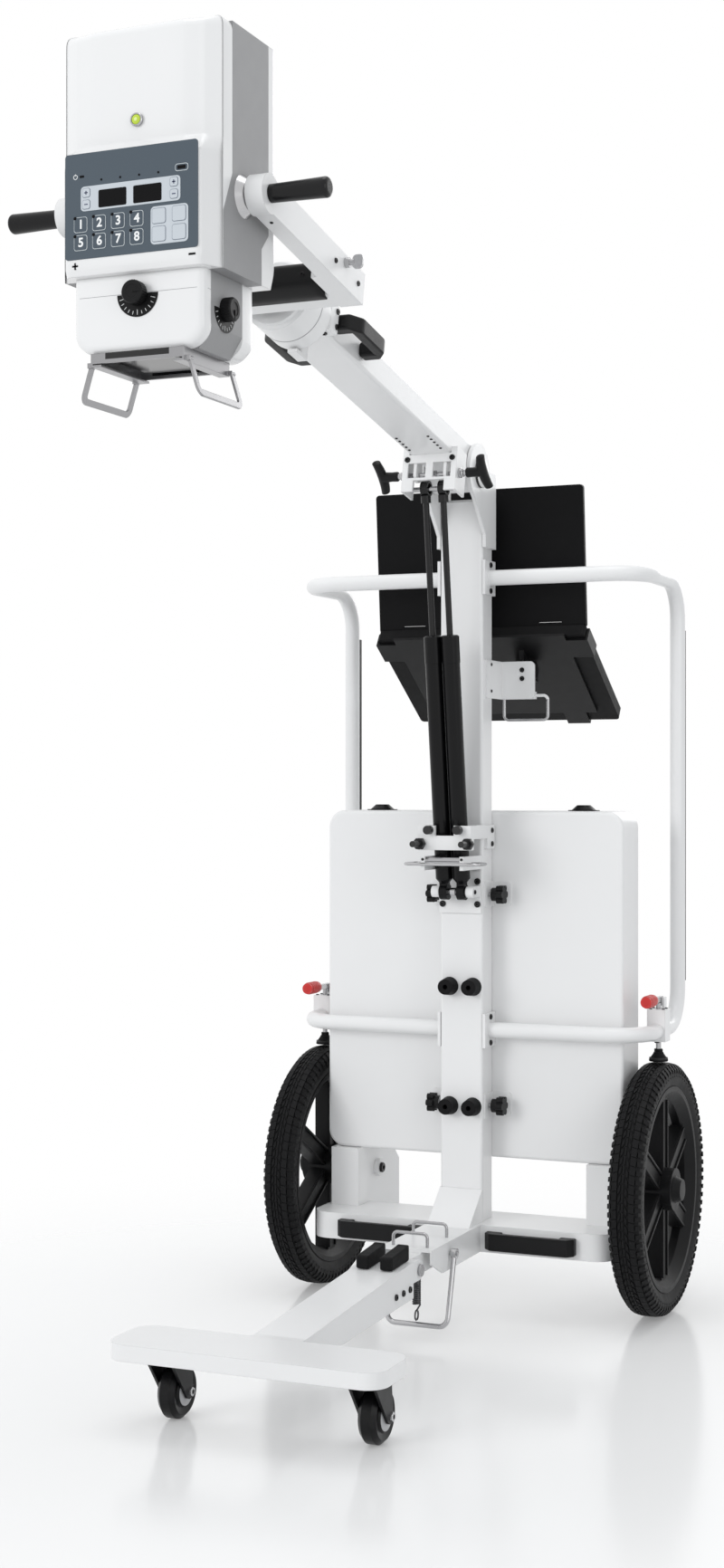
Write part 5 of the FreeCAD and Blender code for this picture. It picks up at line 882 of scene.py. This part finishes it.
key_columns, key_rows = (-0.0668, -0.0419, -0.0168, 0.0081), (-0.0357, -0.0569)
key_places = [(across, up) for across in key_columns for up in key_rows]
key_width, key_height, key_line = 0.0178, 0.0182, 0.0014
small_key = (0.0672, 0.0174)
plates("key_fields", film_pale, (-0.0005, -0.0058, 0.132, 0.0290, 0.0045, 0, 0.0004),
       (0.0512, -0.0464, 0.049, 0.0440, 0.0050, 0, 0.0004))
plates("key_outlines", film_line, *[(*spot, key_width, key_height, 0.0030, 0, 0.0005) for spot in key_places],
       (*small_key, 0.0170, 0.0085, 0.0030, 0, 0.0004))
plates("number_keys", film_key,
       *[(*spot, key_width - key_line, key_height - key_line, 0.0025, 0, 0.0009) for spot in key_places],
       (*small_key, 0.0156, 0.0071, 0.0025, 0, 0.0006))
sign_keys = ((-0.0591, (0.0011, -0.0126)), (0.0573, (0.0015, -0.0124)))
wide_keys = ((0.0376, (-0.0357, -0.0566)), (0.0639, (-0.0353, -0.0566)))
pale_places = [(across, up, 0.0108, 0.0112) for across, ups in sign_keys for up in ups]
pale_places += [(across, up, 0.0182, 0.0182) for across, ups in wide_keys for up in ups]
film_slate = finish("film_slate_line", (0.16, 0.19, 0.24), 0.45, relief=0.0, edge=0.0001)
plates("pale_key_outlines", film_slate, *[(*spot, 0.0028, 0.0003, 0.0006) for spot in pale_places])
plates("pale_keys", film_pale, *[(across, up, width - 0.0012, height - 0.0012, 0.0023, 0.0003, 0.0011)
                                 for across, up, width, height in pale_places])
lamp_columns = (-0.0390, -0.0138, 0.0113, 0.0366)
plates("displays_and_lamps", display_glass,
       *[(across, -0.0077, 0.0372, 0.0206, 0.0018, 0.0003, 0.0007) for across in (-0.0240, 0.0224)],
       (*small_key, 0.0110, 0.0042, 0.0008, 0.0004, 0.0008),
       (-0.0653, 0.0208, 0.0058, 0.0026, 0.0005, 0, 0.0004),
       *[(across, 0.0147, 0.0026, 0.0026, 0.0012, 0, 0.0004) for across in lamp_columns],
       *[(across - 0.0072, up + 0.0079, 0.0038, 0.0038, 0.0018, 0.0004, 0.0012) for across, up in key_places])
digit_size, digit_thick, digit_bold, digit_shift, digit_up = 0.0148, 0.00008, 0.0004, 0.0006, 0.0009


def digit(number, across, up):
    """Raised flat digit on its key."""
    name = f"digit_{number}"
    curve = bpy.data.curves.new(name, "FONT")
    curve.body = str(number)
    curve.size = digit_size
    curve.align_x = "CENTER"
    curve.align_y = "CENTER"
    curve.extrude = digit_thick
    curve.offset = digit_bold
    holder = bpy.data.objects.new(name, curve)
    data = bpy.data.meshes.new_from_object(holder)
    bpy.data.objects.remove(holder)
    data.transform(panel_frame @ Matrix.Translation((across, up, digit_up)))
    data.materials.clear()
    data.materials.append(film_white)
    piece = bpy.data.objects.new(name, data)
    bpy.context.scene.collection.objects.link(piece)
    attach(piece, "head")


for number in range(8):
    digit(number + 1, key_columns[number % 4] + digit_shift, key_rows[number // 4])
sign_long, sign_wide = 0.0046, 0.0012
signs = []
for across, (plus_up, minus_up) in sign_keys:
    signs += [(across, plus_up, sign_long, sign_wide), (across, plus_up, sign_wide, sign_long),
              (across, minus_up, sign_long, sign_wide)]
plates("key_signs", film_navy, *[(*spot, 0.0002, 0.0008, 0.0013) for spot in signs])
lip_frame = Matrix.Translation((0, tilt.y - 0.0841, tilt.z - 0.0835)) @ AXES["-y"]
plates("polarity_marks", display_glass,
       (-0.0750, 0.0, 0.0078, 0.0020, 0.0003, -0.001, 0.0003),
       (-0.0750, 0.0, 0.0020, 0.0078, 0.0003, -0.001, 0.0003),
       (0.0800, 0.0, 0.0088, 0.0024, 0.0003, -0.001, 0.0003), slot="black_plastic", holder=lip_frame)
power = bmesh.new()
power_frame = panel_frame @ Matrix.Translation((-0.0738, 0.0209, 0))
turn_profile(power, [(0.0022, 0.0), (0.0022, 0.0004), (0.0029, 0.0004), (0.0029, 0.0)], power_frame, 28)
boxed(power, (-0.0003, 0.0008, 0.0002), (0.0003, 0.0036, 0.0006), power_frame, 0.0001, 1)
show("power_sign", power, film_white, "head")
level_frame = Matrix.Translation((0, tilt.y - 0.069, tilt.z + 0.084)) @ AXES["-y"]
level_green = finish("level_green", (0.50, 0.66, 0.02), 0.08, coat=0.8, relief=0.0, edge=0.0003)
bubble_pale = finish("level_bubble", (0.72, 0.86, 0.30), 0.1, coat=0.8, relief=0.0, edge=0.0002)
ring_profile = [(0.0080, 0), (0.0080, 0.0032), (0.0074, 0.0038), (0.0062, 0.0038), (0.0060, 0.0028)]
vial_profile = [(0.0061, 0.0026), (0.0055, 0.0036), (0.0032, 0.0044), (0, 0.0047)]
bubble_profile = [(0.0023, 0.0044), (0.0020, 0.0049), (0, 0.0050)]
for name, profile, material, segments in (("level_ring", ring_profile, plated, 40),
                                          ("level_vial", vial_profile, level_green, 40),
                                          ("level_bubble", bubble_profile, bubble_pale, 24)):
    level = bmesh.new()
    turn_profile(level, profile, level_frame, segments)
    show(name, level, material, "head")


# Collimator
# White and grey shells with two ribbed field-size knobs over half-round scales, and stainless rails below
# for accessories. Two bent flat bars hang from the rails as guards.
coll_half, coll_top, coll_low = 0.087, -0.0950, -0.185


def collimator_outline(inset):
    """Front outline of a cover, open at the top corners and rounded below, moved inwards."""
    half, low = coll_half - inset, coll_low + inset
    return soft_corner([(-half, coll_top), (-half, low + 0.015), (-half + 0.017, low), (half - 0.017, low),
                        (half, low + 0.015), (half, coll_top)], 0.009, 6)


def collimator_cover(mesh, depths):
    """Cover through outlines at several depths, as (distance in front of the tilt pin, inset)."""
    rings = []
    for depth, inset in depths:
        ring = [(spot.x, tilt.y - depth, tilt.z + spot.y) for spot in collimator_outline(inset)]
        rings.append([mesh.verts.new(spot) for spot in ring])
    skin(mesh, rings)


def round_over(deep, radius, away):
    """Outlines of a rounded edge that ends at a depth."""
    turns = [math.radians(degrees) for degrees in range(0, 91, 15)]
    return [(deep - away * radius * (1 - math.sin(turn)), radius * (1 - math.cos(turn))) for turn in turns]


covers = bmesh.new()
collimator_cover(covers, [(0.050, 0.0)] + round_over(0.068, 0.009, 1))
collimator_cover(covers, [(-0.031, 0.0)] + round_over(-0.067, 0.012, -1))
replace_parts(show("collimator_shells", covers, shell_white, "head"), "collimator_covers")
seam_bottom, seam_top = tilt.z - 0.1183, tilt.z - 0.1177
seams = bmesh.new()
for half, front, back in ((coll_half + 0.0001, 0.0585, 0.0500), (coll_half - 0.0088, 0.0681, 0.0670)):
    boxed(seams, (-half, tilt.y - front, seam_bottom), (half, tilt.y - back, seam_top))
seam_shadow = finish("seam_shadow", (0.35, 0.35, 0.36), 0.5, relief=0.0, edge=0.0001)
show("collimator_seam", seams, seam_shadow, "head")


def half_disc(mesh, holder, radius, start, low, high, steps=28):
    """Flat half-round plate on a holder frame, from a start angle over half a turn."""
    turns = [math.radians(start + 180 * step / steps) for step in range(steps + 1)]
    rings = []
    for level in (low, high):
        ring = [Vector((radius * math.cos(turn), radius * math.sin(turn), level)) for turn in turns]
        rings.append([mesh.verts.new(holder @ spot) for spot in ring])
    skin(mesh, rings)


rail_low, rail_side = tilt.z - 0.201, 0.0425
dress(finish("rail_steel", (0.36, 0.36, 0.37), 0.32, metallic=1.0, relief=0.03, grain=300,
             zones=[((None, None, rail_low + 0.0085), (rail_side, None, None), (BLACK, 0.15, 0.0))]),
      "collimator_rails")
dress(finish("guard_steel", (0.36, 0.36, 0.37), 0.30, metallic=1.0, relief=0.03, grain=300), "guard_left",
      "guard_right")
scale_frames = {
    "front": Matrix.Translation((0, tilt.y - 0.069, tilt.z - 0.119)) @ AXES["-y"],
    "side": Matrix.Translation((0.087, tilt.y - 0.015, tilt.z - 0.135)) @ AXES["+x"],
}
scale_radius, scale_thick = 0.027, 0.0003
scales = bmesh.new()
half_disc(scales, scale_frames["front"], scale_radius, 180, -0.0010, 0.0)
half_disc(scales, scale_frames["side"], scale_radius, -90, 0.0, scale_thick)
show("scale_plates", scales, moulded, "head")
knob_plastic = finish("knob_plastic", BLACK, 0.38, shine=0.2, relief=0.05, edge=0.0005)
knob_top, knob_ribs = 0.0126, 28
for label, foot in (("front", 0.0016), ("side", 0.0005)):
    holder = scale_frames[label]
    face = foot + knob_top
    knob = bmesh.new()
    turn_profile(knob, [(0.0138, foot), (0.0138, foot + 0.0118), (0.0126, foot + 0.0134),
                        (0.0085, foot + 0.0134), (0.0078, face), (0, face)], holder, 48)
    for number in range(knob_ribs):
        around = holder @ Matrix.Rotation(number * math.tau / knob_ribs, 4, "Z")
        boxed(knob, (0.0130, -0.0006, foot + 0.0005), (0.0142, 0.0006, foot + 0.0115), around, 0.0002, 1)
    boxed(knob, (0.0010, -0.0008, face), (0.0120, 0.0008, foot + 0.0140), holder, 0.0003, 1)
    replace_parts(show(f"field_knob_{label}", knob, knob_plastic, f"dial_{label}"),
                f"collimator_knob_{label}")
tick_end, tick_start, long_tick_start, tick_half = 0.0245, 0.0205, 0.0185, 0.0003
ticks = bmesh.new()
for label, surface, opening in (("front", 0.0, 270), ("side", scale_thick, 0)):
    for number in range(11):
        turned = math.radians(opening - 75 + 15 * number)
        around = scale_frames[label] @ Matrix.Rotation(turned, 4, "Z")
        inner = tick_start if number % 5 else long_tick_start
        boxed(ticks, (inner, -tick_half, surface - 0.0001), (tick_end, tick_half, surface + 0.0002), around)
show("scale_ticks", ticks, film_white, "head")


# Laptop and its bracket
# A plain black laptop held by the lips of a black tray. A folded white plate with a steel wire hook carries
# the tray on the column, and a black knob clamps its tilt.
plate_low, sector_side = 0.997, 0.0455
tray_pin_front, tray_pin_low = axle_y - 0.0297, 1.033
dress(painted("white_bracket",
              (OPEN, (None, None, plate_low - 0.0003), STEEL_ZONE),
              ((sector_side, tray_pin_front, tray_pin_low), OPEN, BLACK_ZONE)), "laptop_bracket")
laptop_black = finish("laptop_black", (0.004, 0.004, 0.0045), 0.5, shine=0.12, relief=0.12, grain=3000,
                      edge=0.0012, mottle=0.05)
dress(laptop_black, "laptop_base", "laptop_lid")
bracket_screws = bmesh.new()
for up in (1.045, 1.0308):
    socket_screw(bracket_screws, pointing("-y", (0.0744, axle_y - 0.033, up)), 0.0040)
for up in (1.052, 1.0087):
    socket_screw(bracket_screws, pointing("+x", (0.0394, axle_y - 0.085, up)), 0.0026)
clamp_knob = [(0.0, 0.0), (0.0145, 0.0), (0.0155, 0.0020), (0.0155, 0.0100), (0.0130, 0.0120), (0.0, 0.0120)]
turn_profile(bracket_screws, clamp_knob, pointing("+x", (0.0745, axle_y + 0.002, 1.046)), 28)
show("bracket_knob", bracket_screws, black_screw, "frame")
tray_angle, lid_opening = math.radians(33), math.radians(127.6)
laptop_frame = Matrix.Translation((0, axle_y - 0.028, 1.117)) @ Matrix.Rotation(-tray_angle, 4, "X")
cap_half, cap_long, cap_thick = 0.0090, 0.0078, 0.00022
first_across, across_pitch, first_along, along_pitch = -0.143, 0.022, 0.034, 0.0195
keyboard = bmesh.new()
for row in range(6):
    for column in range(14):
        across = first_across + column * across_pitch
        along = first_along + row * along_pitch
        boxed(keyboard, (across - cap_half, along - cap_long, 0.0),
              (across + cap_half, along + cap_long, cap_thick), laptop_frame)
boxed(keyboard, (-0.052, 0.166, 0.0), (0.052, 0.226, 0.00015), laptop_frame)
key_black = finish("key_black", (0.012, 0.012, 0.0125), 0.4, shine=0.35, relief=0.05, edge=0.0004)
show("keyboard", keyboard, key_black, "laptop")
lid_frame = Matrix.Translation(places["laptop_lid_fold"]) @ Matrix.Rotation(lid_opening - tray_angle, 4, "X")
screen = bmesh.new()
boxed(screen, (-0.172, 0.014, -0.00415), (0.172, 0.214, -0.0036), lid_frame)
show("laptop_screen", screen, display_glass, "lid")


# Floor, light and camera
# A plain pale floor that fades out into a white backdrop, soft studio lamps around the machine, and a camera
# at the photograph's place and angle.
floor_white = bpy.data.materials.new("floor_white")
floor_white.use_nodes = True
tree = floor_white.node_tree
floor_shader = tree.nodes["Principled BSDF"]
floor_shader.inputs["Base Color"].default_value = (0.88, 0.88, 0.88, 1.0)
floor_shader.inputs["Roughness"].default_value = 0.16
distance = tree.nodes.new("ShaderNodeVectorMath")
distance.operation = "LENGTH"
tree.links.new(tree.nodes.new("ShaderNodeTexCoord").outputs["Object"], distance.inputs[0])
fade = tree.nodes.new("ShaderNodeMapRange")
fade.interpolation_type = "SMOOTHSTEP"
for bound, value in (("From Min", 0.55), ("From Max", 1.7), ("To Min", 0.8), ("To Max", 0.0)):
    fade.inputs[bound].default_value = value
tree.links.new(distance.outputs["Value"], fade.inputs["Value"])
tree.links.new(fade.outputs["Result"], floor_shader.inputs["Alpha"])
floor_mesh = bmesh.new()
bmesh.ops.create_circle(floor_mesh, cap_ends=True, segments=96, radius=1.8)
floor_data = bpy.data.meshes.new("floor")
floor_mesh.to_mesh(floor_data)
floor_mesh.free()
floor_data.materials.append(floor_white)
floor = bpy.data.objects.new("floor", floor_data)
bpy.context.scene.collection.objects.link(floor)

world = bpy.data.worlds.new("studio")
bpy.context.scene.world = world
world.use_nodes = True
tree = world.node_tree
backdrop = tree.nodes["Background"]
backdrop.inputs["Color"].default_value = (0.92, 0.94, 0.96, 1.0)
backdrop.inputs["Strength"].default_value = 0.80
seen = tree.nodes.new("ShaderNodeBackground")
seen.inputs["Color"].default_value = (1.0, 1.0, 1.0, 1.0)
paths = tree.nodes.new("ShaderNodeLightPath")
blend = tree.nodes.new("ShaderNodeMixShader")
white_to = paths.outputs["Is Camera Ray"]
for other in ("Is Glossy Ray", "Is Transmission Ray"):
    white_to = math_node(tree, "MAXIMUM", white_to, paths.outputs[other])
tree.links.new(white_to, blend.inputs[0])
tree.links.new(backdrop.outputs[0], blend.inputs[1])
tree.links.new(seen.outputs[0], blend.inputs[2])
tree.links.new(blend.outputs[0], tree.nodes["World Output"].inputs["Surface"])

machine_middle = Vector((0, -0.1, 0.9))


def soft_light(name, spot, size, power, mirrored=True):
    """Round lamp aimed at the middle of the machine, which glossy surfaces may mirror."""
    lamp = bpy.data.lights.new(name, "AREA")
    lamp.shape = "DISK"
    lamp.size = size
    lamp.energy = power
    holder = bpy.data.objects.new(name, lamp)
    holder.location = spot
    holder.rotation_euler = (machine_middle - Vector(spot)).to_track_quat("-Z", "Y").to_euler()
    holder.visible_glossy = mirrored
    bpy.context.scene.collection.objects.link(holder)


soft_light("key", (-3.4, -5.6, 2.4), 3.0, 140, mirrored=False)
soft_light("fill", (4.4, -2.6, 1.8), 2.6, 22)
soft_light("top", (0.2, -0.2, 4.6), 2.6, 34)
soft_light("back", (0.6, 4.2, 2.6), 2.4, 30)

image_width, image_height = 800, 1732
focal_pixels, centre_u, centre_v = 2396.0, 394.6, 866.4
camera_data = bpy.data.cameras.new("photo_camera")
camera_data.sensor_width = 36.0
camera_data.lens = focal_pixels * camera_data.sensor_width / image_height
camera_data.shift_x = (image_width / 2 - centre_u) / image_height
camera_data.shift_y = (centre_v - image_height / 2) / image_height
camera = bpy.data.objects.new("photo_camera", camera_data)
camera.location = (1.24356, -2.91397, 0.85671)
camera.rotation_euler = (math.radians(90), 0, math.radians(23.416))
bpy.context.scene.collection.objects.link(camera)
bpy.context.scene.camera = camera
bpy.context.scene.view_settings.view_transform = "Standard"
